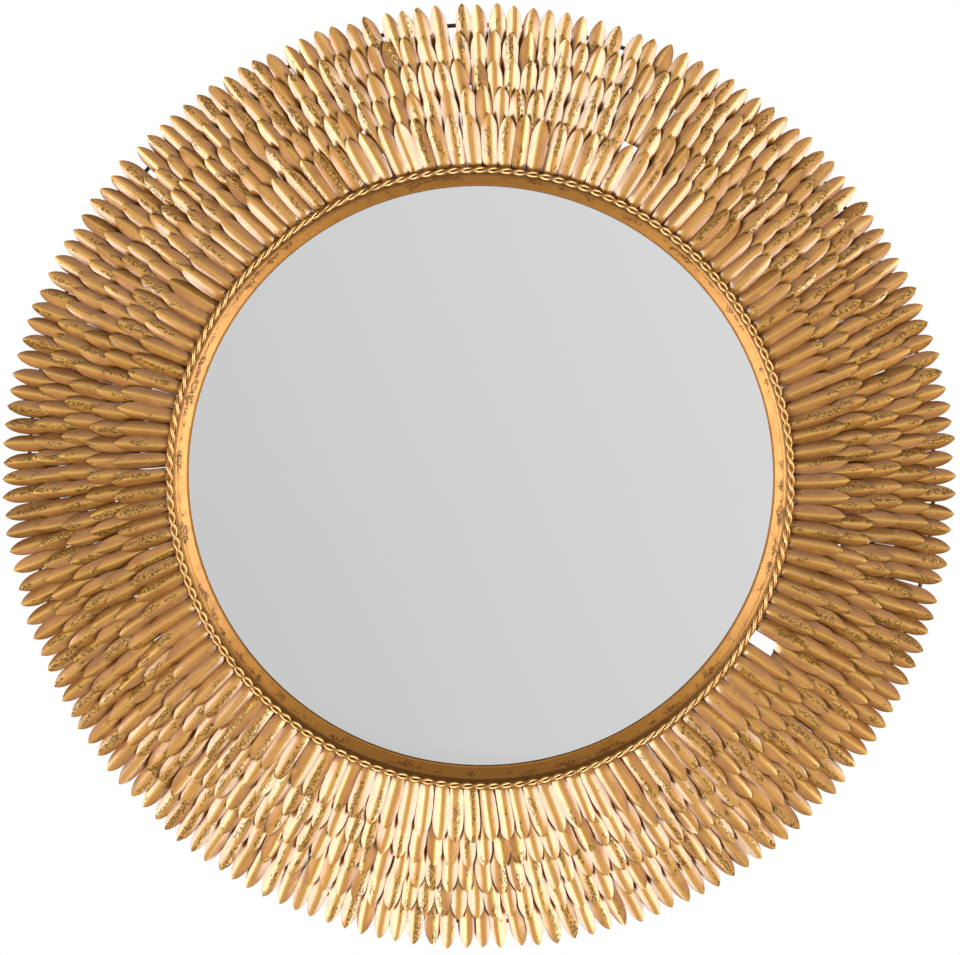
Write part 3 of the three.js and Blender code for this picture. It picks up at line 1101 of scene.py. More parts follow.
@dataclass
class LeafRows:
    """The five rows of folded leaves, each leaf a creased sheet with a tip of its own.

    Args:
        counts: Leaves in each row, innermost first.
        lost: The clock angle of a lost leaf in degrees, by row.
        spread: Places where neighbours stand apart: row, clock angle and opening in degrees.
        spread_fade: How soon that opening fades away, in degrees.
        root_in: How far roots reach in under the rope.
        width: Across a leaf.
        root_share: Width at the root, as a share.
        widest: Where a leaf is widest, as a share of its length.
        sheet: Thickness of the sheet.
        fold_height: Height of the fold over the leaf's edges.
        swell: How far the panels beside the fold bulge.
        fold_radius: Rounding of the fold.
        root_fold_radius: Rounding of the fold at the root.
        root_dip: How far the root bends back.
        root_share_bent: Share of the length over which it does.
        droop: How far the tip bends back towards the wall.
        droop_power: How late it does.
        tip_power: How long a leaf keeps its width.
        tip_round: How blunt its tip is.
        tip_least: Half the tip's own width.
        twist_still: Share of the length that a twist leaves in place.
        lean: Mean lean in degrees, clockwise.
        lean_waves: Waves of the lean round the clock: lobes, degrees, and clock angle of a crest.
        longer: How much longer than its solid's leaves a row's are, by row.
        off_centre: How far a row stands off centre, and toward which clock angle in degrees, by row.
        seed: Start of the random numbers.
        across_steps: Section points from the fold to the edge, as shares of half the width.
        along_steps: Stations from the root to the tip, as shares of the length.
        differ: How far leaves differ.
        wear: How they are worn.
    """

    counts: tuple[int, ...] = (134, 143, 154, 165, 172)
    lost: dict[int, float] = field(default_factory=lambda: {0: 120.0, 1: 23.7})
    spread: tuple[tuple[int, float, float], ...] = ((4, 356.2, 1.2), (4, 313.7, 0.7), (4, 16.9, 0.4))
    spread_fade: float = 7.0
    root_in: float = 1.1 * MM
    width: float = 16.5 * MM
    root_share: float = 0.89
    widest: float = 0.585
    sheet: float = 0.8 * MM
    fold_height: float = 3.6 * MM
    swell: float = 1.25
    fold_radius: float = 1.5 * MM
    root_fold_radius: float = 2.6 * MM
    root_dip: float = 1.4 * MM
    root_share_bent: float = 0.16
    droop: float = 1.6 * MM
    droop_power: float = 2.5
    tip_power: float = 2.3
    tip_round: float = 0.74
    tip_least: float = 0.35 * MM
    twist_still: float = 0.4
    lean: float = -3.9
    lean_waves: tuple[tuple[int, float, float], ...] = ((4, 6.0, 25.0), (1, 2.2, 65.0), (3, 1.4, 40.0))
    longer: dict[int, float] = field(default_factory=lambda: {4: 1.4 * MM})
    off_centre: dict[int, tuple[float, float]] = field(default_factory=lambda: {4: (2.7 * MM, 231.0)})
    seed: int = 11
    across_steps: tuple[float, ...] = (0.0, 0.12, 0.27, 0.52, 0.82, 1.0)
    along_steps: tuple[float, ...] = (
        *(0.0, 0.03, 0.065, 0.105, 0.15, 0.22, 0.33, 0.44, 0.54),
        *(0.64, 0.73, 0.81, 0.875, 0.925, 0.963, 0.988, 1.0),
    )
    differ: LeafSpread = LeafSpread()
    wear: LeafWear = LeafWear()

    def build(self, finish: Material) -> None:
        """Makes every row with the given finish."""
        for row in range(len(self.counts)):
            number = row + 1
            piece = self.row_mesh(row).build(f"leaves_row_{number}", [finish])
            dress(piece, [f"leaf_row_{number}"])

    def leaf_angles(self, row: int, random: np.random.Generator) -> np.ndarray:
        """The clock angles of a row's leaves in degrees, without the lost one."""
        count = self.counts[row]
        pitch = 360 / count
        lost_at = self.lost.get(row)
        first = 0 if lost_at is None else 1
        angles = (lost_at or 0.0) + np.arange(first, count) * pitch
        most = self.differ.place_most
        angles = angles + np.clip(random.normal(0, self.differ.place, len(angles)), -most, most) * pitch
        for spread_row, at, opening in self.spread:
            if spread_row == row:
                away = (angles - at + 180) % 360 - 180
                angles = angles + np.sign(away) * opening / 2 * np.exp(-np.abs(away) / self.spread_fade)
        return angles

    def lean_at(self, angles: np.ndarray) -> np.ndarray:
        """The lean of leaves at these clock angles, all in degrees."""
        lean = np.full_like(angles, self.lean)
        for lobes, size, crest in self.lean_waves:
            lean += size * np.cos(np.radians(lobes * (angles - crest)))
        return lean

    def half_width(self, along: np.ndarray) -> np.ndarray:
        """Half a leaf's width at these shares of its length."""
        before = np.clip((self.widest - along) / self.widest, 0, 1)
        after = np.clip((along - self.widest) / (1 - self.widest), 0, 1)
        body = 1 - (1 - self.root_share) * before**2
        tip = (1 - after**self.tip_power) ** self.tip_round
        return np.maximum(self.width / 2 * body * tip, self.tip_least)

    def row_mesh(self, row: int) -> MeshStock:
        """The leaves of one row.

        Args:
            row: The row, from 0.

        Returns:
            The row's mesh and values.
        """
        span = RingSpan.of(f"leaf_row_{row + 1}")
        random = np.random.default_rng(self.seed + row)
        angles = self.leaf_angles(row, random)

        def vary(size: float) -> np.ndarray:
            """Random sizes about zero, one for each leaf, as an array that fits the grid."""
            most = self.differ.limit * size
            return np.clip(random.normal(0, size, len(angles)), -most, most)[:, None, None]

        along = np.array(self.along_steps)[None, :, None]
        side = np.array(self.across_steps)
        across = np.concatenate([-side[:0:-1], side])[None, None, :]
        full = span.outer - span.inner + self.root_in + self.longer.get(row, 0.0)
        grid = LeafGrid(
            along=along,
            across=across,
            length=full + vary(self.differ.length),
            half=self.half_width(along) * (1 + vary(self.differ.width)),
            from_fold=across - vary(self.differ.skew) * (1 - across**2),
        )
        outer_face = self.on_clock(row, span, angles, self.folded(grid, span, vary), vary)
        points = np.stack([outer_face, outer_face - FORWARD * self.sheet], axis=1)
        stock = MeshStock()
        stock.add(points.reshape(-1, 3), self.leaf_faces(len(angles)), **self.finish_values(grid, random))
        return stock

    def folded(self, grid: LeafGrid, span: RingSpan, vary: Vary) -> tuple[np.ndarray, np.ndarray, np.ndarray]:
        """The folded sheets, each on its back with its own roll, twist and pitch.

        Args:
            grid: The leaves.
            span: Where their row lies.
            vary: Draws random sizes.

        Returns:
            Their front faces: x across, y along and z forward.
        """
        along = grid.along
        height = self.fold_height * (1 + vary(self.differ.fold))
        near_root = np.clip(1 - along / self.root_share_bent, 0, 1) ** 2
        bend = self.fold_radius + (self.root_fold_radius - self.fold_radius) * near_root
        rounded = np.sqrt((grid.from_fold * grid.half) ** 2 + bend**2) - bend
        drop = height * (rounded / (self.width / 2)) ** self.swell
        droop = self.droop * (1 + vary(self.differ.droop)) * along**self.droop_power
        x = grid.across * grid.half + vary(self.differ.tip) * along**2
        y = along * grid.length + 0 * grid.across
        z = self.sheet + height - drop - droop - self.root_dip * near_root

        roll = np.radians(vary(self.differ.roll) + vary(self.differ.roll) * (along - self.twist_still))
        middle = (self.sheet + height) / 2
        x, z = (
            x * np.cos(roll) + (z - middle) * np.sin(roll),
            (z - middle) * np.cos(roll) - x * np.sin(roll) + middle,
        )
        rise = (span.outer_back - span.inner_back) / (span.outer - span.inner)
        return x, y, z + y * (rise + np.tan(np.radians(vary(self.differ.pitch))))

    def on_clock(
        self,
        row: int,
        span: RingSpan,
        angles: np.ndarray,
        sheets: tuple[np.ndarray, np.ndarray, np.ndarray],
        vary: Vary,
    ) -> np.ndarray:
        """The sheets of a row, leaning, in their places round the clock.

        Args:
            row: The row, from 0.
            span: Where the row lies.
            angles: The leaves' clock angles in degrees.
            sheets: Their front faces, as folded gives them.
            vary: Draws random sizes.

        Returns:
            The points of their front faces.
        """
        x, y, z = sheets
        lean = np.radians(self.lean_at(angles)[:, None, None] + vary(self.differ.lean))
        x, y = x * np.cos(lean) + y * np.sin(lean), y * np.cos(lean) - x * np.sin(lean)
        turn = np.radians(angles)
        shift, toward = self.off_centre.get(row, (0.0, 0.0))
        shifted = shift * np.cos(turn - math.radians(toward))[:, None, None]
        out = span.inner - self.root_in + shifted + vary(self.differ.root) + y
        return (
            radial(turn)[:, None, None, :] * out[..., None]
            + clockwise(turn)[:, None, None, :] * x[..., None]
            + FORWARD * (span.inner_back + z)[..., None]
        )

    def finish_values(self, grid: LeafGrid, random: np.random.Generator) -> dict[str, np.ndarray]:
        """What the gilt finish reads from leaves, on both faces of their sheets.

        Args:
            grid: The leaves.
            random: Draws how each is worn.

        Returns:
            Values for each vertex by name.
        """
        wear, along, across = self.wear, grid.along, grid.across
        count = len(grid.length)
        luck = random.beta(*wear.luck, count)[:, None, None]
        left = np.where(random.random(count) < wear.left_chance, -1, 1)
        worn_side = left[:, None, None] * random.uniform(*wear.beside, (count, 1, 1)) * MM
        offset = random.uniform(0, wear.apart, (count, 3))[:, None, None, :]

        flat = np.stack(
            np.broadcast_arrays(across * grid.half, wear.patch_stretch * along * grid.length, 0.0), axis=-1
        )
        shape = flat.shape[:3]
        from_fold = grid.from_fold * grid.half
        beside = np.clip(wear.core - np.abs(from_fold - worn_side) / wear.reach, 0, 1)
        # The darker rim is partly a tarnished cut edge and partly painted shade where neighbouring leaves
        # meet.
        rim = np.clip((np.abs(across) - wear.rim_from) / (1 - wear.rim_from), 0, 1)
        # The root darkens, partly dirt and partly painted shade where the rope or the row before covers it.
        root = np.clip(1 - along / wear.root_dirt_reach, 0, 1) ** wear.root_dirt_power
        values = {
            "wear": beside * np.clip(wear.root_wear + along, 0, 1),
            "luck": luck,
            "ridge": np.clip(wear.core - np.abs(from_fold) / wear.ridge, 0, 1),
            "rim": across**2,
            "edge": rim + wear.root_dirt * root,
        }
        doubled = {"place": np.repeat((flat + offset)[:, None], 2, axis=1).reshape(-1, 3)}
        for name, value in values.items():
            doubled[name] = np.repeat(np.broadcast_to(value, shape)[:, None], 2, axis=1).ravel()
        return doubled

    def leaf_faces(self, count: int) -> list[tuple[int, ...]]:
        """The faces of this many leaves, each a closed sheet."""
        rows = len(self.along_steps)
        columns = 2 * len(self.across_steps) - 1
        size = rows * columns
        top = np.array(grid_faces(rows, columns, False, False))
        first = np.arange(columns - 1)
        last = first + (rows - 1) * columns
        left = np.arange(rows - 1) * columns
        right = left + columns - 1
        edges = [(first, first + 1), (last + 1, last), (left + columns, left), (right, right + columns)]
        rims = [np.stack([a, a + size, b + size, b], axis=1) for a, b in edges]
        leaf = np.concatenate([top, top[:, ::-1] + size, *rims])
        starts = np.arange(count)[:, None, None] * 2 * size
        return (leaf + starts).reshape(-1, 4).tolist()


@dataclass
class RopeTrim:
    """Two gilt wires twisted together, laid on the collar's rim.

    Args:
        turns: Full turns of the twist round the rim.
        wire: A wire's radius.
        throw: Distance of a wire's middle from the rope's.
        steps: Steps along each turn.
        sides: Sides of a wire.
        wear: How easily the wires are rubbed.
        luck: How worn they are.
    """

    turns: int = 74
    wire: float = 1.62 * MM
    throw: float = 1.82 * MM
    steps: int = 18
    sides: int = 12
    wear: float = 0.5
    luck: float = 0.35

    def build(self, finish: Material) -> None:
        """Makes the rope with the given finish."""
        span = RingSpan.of("rope_trim")
        angles = np.arange(self.turns * self.steps) * 2 * math.pi / (self.turns * self.steps)
        stock = MeshStock()
        for phase in (0.0, math.pi):
            twist = phase - self.turns * angles
            out = span.middle_radius + self.throw * np.cos(twist)
            depth = span.middle_depth + self.throw * np.sin(twist)
            path = radial(angles) * out[:, None] + FORWARD * depth[:, None]
            points, faces = tube(path, self.wire, self.sides, radial(angles), True)
            stock.add(points, outward(points, faces), **plain_values(points, self.wear, self.luck))
        dress(stock.build("rope_strands", [finish]), ["rope_trim"])


@dataclass
class Collar:
    """The spun collar: wall, rounded rim, hollow bezel and rolled lip.

    Args:
        segments: Steps round the axis.
        sheet: Thickness of the metal.
        rim_width: Width of the flat rim.
        rim_round: Rounding of the rim's outer edge.
        wall_share: Share of the bezel's width that its steep outer part takes.
        wall_drop: Share of the bezel's depth that this part takes.
        fillet: How far the rounding between the two parts reaches into each.
        lip_roll: Radius of the rolled lip.
        roll_start: Where the bezel meets the roll, out and forward from the lip, in roll radii.
        roll_heel: Where the roll meets the bezel's back, in roll radii.
        back_offset: How far the bezel's back lies out and back from its face, in sheets.
        lip_shadow: Width of the painted shadow line where the lip meets the glass.
        lip_dirt: How strong that painted shadow is.
        rope_shadow: How far the painted shadow beside the rope reaches. It darkens the bezel where the rope
            shades it.
        rope_dirt: How strong that painted shadow is, and the most of it that counts.
        worn_at: Share of the bezel's width at which it is rubbed most.
        worn_reach: Share over which that fades.
        worn_least: Wear where it has faded.
        luck: How worn the collar is.
        arc_steps: Steps across the bezel.
    """

    segments: int = 288
    sheet: float = 1.5 * MM
    rim_width: float = 2.2 * MM
    rim_round: float = 0.6 * MM
    wall_share: float = 0.27
    wall_drop: float = 0.54
    fillet: float = 2.8 * MM
    lip_roll: float = 0.75 * MM
    roll_start: tuple[float, float] = (2.2, 0.75)
    roll_heel: tuple[float, float] = (3.0, -1.0)
    back_offset: tuple[float, float] = (0.55, 0.8)
    lip_shadow: float = 0.9 * MM
    lip_dirt: float = 1.6
    rope_shadow: float = 4.2 * MM
    rope_dirt: tuple[float, float] = (1.5, 1.2)
    worn_at: float = 0.55
    worn_reach: float = 0.5
    worn_least: float = 0.15
    luck: float = 0.75
    arc_steps: int = 16

    def build(self, finish: Material) -> None:
        """Makes the collar with the given finish."""
        span = RingSpan.of("bezel_collar")
        points, faces = turned(self.section(span), self.segments)
        radius = np.hypot(points[:, 0], points[:, 2])
        rim = span.outer - self.rim_width
        share = np.clip((radius - span.inner) / (rim - span.inner), 0, 1)
        wear = np.clip(1 - np.abs(share - self.worn_at) / self.worn_reach, self.worn_least, 1)
        values = plain_values(points, wear, self.luck)
        # Painted shadow: the bezel darkens beside the rope, where the rope shades it, and loses its lacquer
        # there.
        strength, most = self.rope_dirt
        values["edge"] = np.maximum(
            # Painted shadow: a dark line where the rolled lip meets the glass.
            np.clip(self.lip_dirt - (radius - span.inner) / self.lip_shadow, 0, self.lip_dirt),
            np.clip(strength - (rim - radius) / self.rope_shadow, 0, most),
        )
        stock = MeshStock()
        stock.add(points, outward(points, faces), **values)
        dress(stock.build("collar_and_bezel", [finish]), ["bezel_collar"])

    def section(self, span: RingSpan) -> Section:
        """The collar's section, from the foot of its wall over rim, bezel and lip to the bezel's back."""
        roll = self.lip_roll
        lip = np.array([span.inner, span.inner_back + roll])
        top = np.array([span.outer - self.rim_width, span.front])
        end = lip + np.array(self.roll_start) * roll
        corner = top + (end - top) * [self.wall_share, self.wall_drop]
        upper, lower = (corner + (leg - corner) * self.fillet / math.dist(leg, corner) for leg in (top, end))
        bend = [
            (1 - t) ** 2 * upper + 2 * t * (1 - t) * corner + t**2 * lower
            for t in np.linspace(0, 1, self.arc_steps + 1)
        ]
        wall = span.outer - self.sheet
        behind = np.array(self.back_offset) * [self.sheet, -self.sheet]
        soft = self.rim_round
        return [
            (wall, span.back),
            (span.outer, span.back),
            *arc((span.outer - soft, span.front - soft), soft, 0, 90, 3),
            *map(tuple, [top, *bend, end]),
            *arc((lip[0] + roll, lip[1]), roll, 110, 270, 6),
            tuple(lip + np.array(self.roll_heel) * roll),
            *(tuple(point + behind) for point in reversed(bend)),
            (wall, span.front - self.sheet),
        ]


@dataclass
class MirrorGlass:
    """The convex glass, silvered behind, with a ground edge.

    Args:
        segments: Steps round the axis.
        steps: Steps from the middle to the edge.
        thickness: The glass's thickness.
        arris: Width of the ground arris round the front edge.
    """

    segments: int = 192
    steps: int = 40
    thickness: float = 3 * MM
    arris: float = 0.5 * MM

    def build(self, mirror: Material, paint: Material) -> None:
        """Makes the glass with a mirror finish in front and back paint behind."""
        span = RingSpan.of("mirror_glass")
        crown = span.front - span.outer_back - self.thickness
        sphere = (span.outer**2 + crown**2) / (2 * crown)

        def depth_at(radius: np.ndarray | float) -> np.ndarray:
            """Depth of the front face at these radii."""
            return span.front - sphere + np.sqrt(sphere**2 - radius**2)

        back_radii = np.linspace(0, span.outer, self.steps + 1)
        front_radii = np.linspace(span.outer - self.arris, 0, self.steps + 1)
        section = [
            *zip(back_radii, depth_at(back_radii) - self.thickness),
            (span.outer, float(depth_at(span.outer)) - self.arris),
            *zip(front_radii, depth_at(front_radii)),
        ]
        points, faces = turned(section, self.segments)
        behind = -points[:, 1] - depth_at(np.hypot(points[:, 0], points[:, 2])) < -self.arris / 2
        stock = MeshStock()
        stock.add(points, outward(points, faces))
        piece = stock.build("convex_glass", [mirror, paint])
        for polygon in piece.data.polygons:
            polygon.material_index = int(any(behind[i] for i in polygon.vertices))
        dress(piece, ["mirror_glass"])


@dataclass
class Framework:
    """Round hoops and flat spokes that carry the leaves.

    Args:
        hoops: Number of the rows' hoops.
        spokes: Number of spokes.
        segments: Steps round a hoop.
        sides: Sides of a hoop's rod.
        corner: Rounding of a spoke's outer corners.
        corner_steps: Steps round each.
        eased: Rounding of a spoke's long edges.
    """

    hoops: int = 5
    spokes: int = 8
    segments: int = 240
    sides: int = 14
    corner: float = 3 * MM
    corner_steps: int = 5
    eased: float = 0.4 * MM

    def build(self, finish: Material) -> None:
        """Makes the hoops and spokes with the given finish."""
        for number in range(1, self.hoops + 1):
            self.hoop(f"leaf_hoop_{number}", f"row_hoop_{number}", finish)
        self.hoop("outer_hoop", "tip_hoop", finish)
        for number in range(1, self.spokes + 1):
            self.spoke(number, finish)

    def hoop(self, node: str, name: str, finish: Material) -> None:
        """Makes the hoop that stands for a node."""
        span = RingSpan.of(node)
        radius = (span.outer - span.inner) / 2
        step = 360 / self.sides
        section = arc((span.middle_radius, span.middle_depth), radius, 0, 360 - step, self.sides - 1)
        solid_piece(name, turned(section, self.segments), finish, node)

    def spoke(self, number: int, finish: Material) -> None:
        """Makes a spoke as a flat bar with rounded outer corners."""
        node = f"spoke_{number}"
        angle = (number - 1) * 2 * math.pi / self.spokes
        local = hand_points(node, angle)
        inner = local[local[:, 1].argmax(), :2]
        outer = local[local[:, 0].argmax(), :2]
        behind = local[local[:, 0].argmin(), :2]
        length = math.dist(outer, inner)
        along = (outer - inner) / length
        from_end = np.array([length, length / 2, *corner_steps(self.corner, self.corner_steps)[::-1]])
        flat = inner + along * (length - from_end)[:, None]
        normal = np.broadcast_to([-along[1], along[0]], flat.shape)
        widths = eased_widths(float(local[:, 2].max()), self.corner, from_end)
        bar = ribbon(
            on_hand(angle, flat), on_hand(angle, normal), clockwise(angle), widths, math.dist(inner, behind)
        )
        solid_piece(f"spoke_bar_{number}", bar, finish, node, bevel=self.eased)


@dataclass
class Screw:
    """A pan-head screw with a cross recess. Only its head shows.

    Args:
        segments: Steps round the head.
        rings: Steps across the head.
        head: Height of the head.
        shank: The shank's radius.
        dome: Height of the head's dome, as a share of a half-round one's.
        dome_reach: How much of that half-round the head spans.
        face: Depth within which a point belongs to the dome.
        recess: Depth of the cross.
        recess_half: Half the width of the cross's arms.
        recess_reach: Length of the cross's arms from the middle, as a share of the head.
    """

    segments: int = 32
    rings: int = 12
    head: float = 1.8 * MM
    shank: float = 1.5 * MM
    dome: float = 0.7
    dome_reach: float = 0.6
    face: float = 0.8 * MM
    recess: float = 0.9 * MM
    recess_half: float = 0.45 * MM
    recess_reach: float = 0.62

    def build(self, node: str, turn: float, finish: Material) -> None:
        """Makes the screw that stands for a node.

        Args:
            node: The node's name.
            turn: Where the cross points, in radians.
            finish: The screw's finish.
        """
        low, high = node_points(node).min(axis=0), node_points(node).max(axis=0)
        radius = float(high[0] - low[0]) / 2
        back, front = float(-high[1]), float(-low[1])
        shares = np.linspace(0, 1, self.rings + 1)
        rounding = self.dome * radius * (1 - np.sqrt(1 - self.dome_reach * shares**2))
        section = [
            *zip(radius * shares, back + rounding),
            (radius, back + self.head),
            (self.shank, back + self.head),
            (self.shank, front),
            (0, front),
        ]
        points, faces = turned(section, self.segments)
        across = points[:, 0] * math.cos(turn) + points[:, 2] * math.sin(turn)
        up = points[:, 2] * math.cos(turn) - points[:, 0] * math.sin(turn)
        arm = np.minimum(np.abs(across), np.abs(up)) < self.recess_half
        inside = np.hypot(across, up) < radius * self.recess_reach
        points[arm & inside & (-points[:, 1] < back + self.face), 1] -= self.recess
        centre = (low + high) / 2 * [1, 0, 1]
        solid_piece(f"{node}_head", (points + centre, faces), finish, node)


@dataclass
class BackFittings:
    """Backing board, the clips that hold it, and wall bumpers.

    Args:
        clips: Number of clips.
        bumpers: Number of bumpers.
        clip_sheet: Thickness of a clip.
        clip_bend: Inner radius of a clip's bend.
        clip_corner: Rounding of a clip's corners.
        clip_eased: Rounding of a clip's edges.
        board_segments: Steps round the board.
        board_round: Rounding of the board's edges.
        bumper_segments: Steps round a bumper.
        bumper_round: Rounding of a bumper's face.
        bumper_dimple: Depth of the dimple in that face.
        dimple_floor: Its floor's radius, as a share of the bumper's.
        dimple_rim: Its rim's radius, as a share of the bumper's.
        seed: Start of the random numbers that turn the screws.
    """

    clips: int = 8
    bumpers: int = 4
    clip_sheet: float = 1.2 * MM
    clip_bend: float = 1.0 * MM
    clip_corner: float = 2.5 * MM
    clip_eased: float = 0.2 * MM
    board_segments: int = 192
    board_round: float = 0.8 * MM
    bumper_segments: int = 40
    bumper_round: float = 1.5 * MM
    bumper_dimple: float = 0.25 * MM
    dimple_floor: float = 0.25
    dimple_rim: float = 0.35
    seed: int = 5

    def build(self, board: Material, zinc: Material, rubber: Material, screw: Screw) -> None:
        """Makes the fittings with their finishes."""
        self.board(board)
        random = np.random.default_rng(self.seed)
        for number in range(1, self.clips + 1):
            self.clip(number, (number - 0.5) * 2 * math.pi / self.clips, zinc)
            screw.build(f"clip_screw_{number}", random.uniform(0, math.pi), zinc)
        for number in range(1, self.bumpers + 1):
            self.bumper(number, rubber)

    def board(self, finish: Material) -> None:
        """Makes the round board with eased edges."""
        span = RingSpan.of("backing_board")
        soft = self.board_round
        section = [
            (0, span.back),
            (span.outer - 3 * soft, span.back),
            *arc((span.outer - soft, span.back + soft), soft, -90, 0, 4),
            *arc((span.outer - soft, span.front - soft), soft, 0, 90, 4),
            (0, span.front),
        ]
        solid_piece("back_board", turned(section, self.board_segments), finish, "backing_board")

    def clip(self, number: int, angle: float, finish: Material) -> None:
        """Makes a bent clip, one leg on the board and one along the collar's wall."""
        node = f"board_clip_{number}"
        local = hand_points(node, angle)
        low, high = local.min(axis=0), local.max(axis=0)
        bend = self.clip_bend + self.clip_sheet
        toe = [(x, low[1]) for x in low[0] + corner_steps(self.clip_corner, 5)]
        flat = np.array([*toe, *arc((high[0] - bend, low[1] + bend), bend, -90, 0, 6), (high[0], high[1])])
        face = on_hand(angle, -left_normals(flat))
        widths = eased_widths(high[2], self.clip_corner, flat[:, 0] - low[0])
        shape = ribbon(on_hand(angle, flat), face, clockwise(angle), widths, self.clip_sheet)
        solid_piece(f"bent_clip_{number}", shape, finish, node, bevel=self.clip_eased)

    def bumper(self, number: int, finish: Material) -> None:
        """Makes a round bumper with a dimpled, softened face."""
        node = f"wall_bumper_{number}"
        low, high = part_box(node)
        radius = (high.x - low.x) / 2
        centre = Vector(((low.x + high.x) / 2, 0, (low.z + high.z) / 2))
        soft = self.bumper_round
        section = [
            (0, self.bumper_dimple),
            (radius * self.dimple_floor, self.bumper_dimple),
            (radius * self.dimple_rim, 0),
            (radius - 2 * soft, 0),
            *arc((radius - soft, soft), soft, -90, 0, 6),
            (radius, -low.y),
            (0, -low.y),
        ]
        shape = turned(section, self.bumper_segments, centre)
        solid_piece(f"soft_bumper_{number}", shape, finish, node)


@dataclass
class Hangers:
    """Two strap hangers with D rings that swing.

    Args:
        strap_sheet: Thickness of a strap.
        strap_corner: Rounding of a strap's lower corners.
        strap_eased: Rounding of a strap's edges.
        curl_end: Where the curl ends, in degrees from the top towards the board.
        curl_steps: Steps round the curl.
        ring_wire: Radius of a ring's wire.
        ring_bend: Radius of a ring's upper corners.
        ring_butt: Half the gap between its ends.
        ring_sides: Sides of its wire.
        screws: Screws in each strap.
        screw_turn: How far each screw's cross is turned from the last one's, in radians.
    """

    strap_sheet: float = 1.2 * MM
    strap_corner: float = 5 * MM
    strap_eased: float = 0.2 * MM
    curl_end: float = -150.0
    curl_steps: int = 20
    ring_wire: float = 1.5 * MM
    ring_bend: float = 3 * MM
    ring_butt: float = 0.25 * MM
    ring_sides: int = 14
    screws: int = 2
    screw_turn: float = 0.5

    def build(self, joints: list[dict], finish: Material, screw: Screw) -> None:
        """Makes both hangers at the joints of their rings, with their screws."""
        pivots = {joint["child"]: Vector(joint["pos_m"]) for joint in joints}
        number = 0
        for side in Side:
            self.strap(side, pivots[f"ring_{side.word}"], finish)
            self.ring(side, pivots[f"ring_{side.word}"], finish)
            for _ in range(self.screws):
                number += 1
                screw.build(f"hanger_screw_{number}", self.screw_turn * number, finish)

    def strap(self, side: Side, pivot: Vector, finish: Material) -> None:
        """Makes a strap: flat on the board, curled over the ring's bar."""
        node = f"hanger_strap_{side.word}"
        low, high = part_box(node)
        outer = high.y - pivot.y
        tail = low.z - pivot.z
        toe = [(z, outer) for z in tail + corner_steps(self.strap_corner, 7)]
        flat = np.array([*toe, (-2 * outer, outer), *arc((0, 0), outer, 90, self.curl_end, self.curl_steps)])
        widths = eased_widths((high.x - low.x) / 2, self.strap_corner, flat[:, 0] - tail)
        path, face = (part[:, [0, 1, 0]] * [0, -1, 1] for part in (flat, left_normals(flat)))
        shape = ribbon(np.array(pivot) + path, face, np.array([1.0, 0.0, 0.0]), widths, self.strap_sheet)
        solid_piece(f"strap_{side.word}", shape, finish, node, bevel=self.strap_eased)

    def ring(self, side: Side, pivot: Vector, finish: Material) -> None:
        """Makes a D ring of bent wire, whose ends butt in the curl."""
        node = f"hanger_ring_{side.word}"
        low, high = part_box(node)
        half = (high.x - low.x) / 2 - self.ring_wire
        drop = pivot.z - low.z - self.ring_wire
        bend = self.ring_bend
        right = [
            (self.ring_butt, 0.0),
            *arc((half - bend, -bend), bend, 90, 0, 6),
            *arc((0, half - drop), half, 0, -90, 14),
        ]
        flat = np.array([*right, *((-x, z) for x, z in reversed(right[:-1]))])
        path = np.array(pivot) + flat[:, [0, 1, 1]] * [1, 0, 1]
        shape = tube(path, self.ring_wire, self.ring_sides, FORWARD, False)
        solid_piece(f"d_ring_{side.word}", shape, finish, node, f"ring_{side.word}")


# ---------------------------------------------------------------- studio


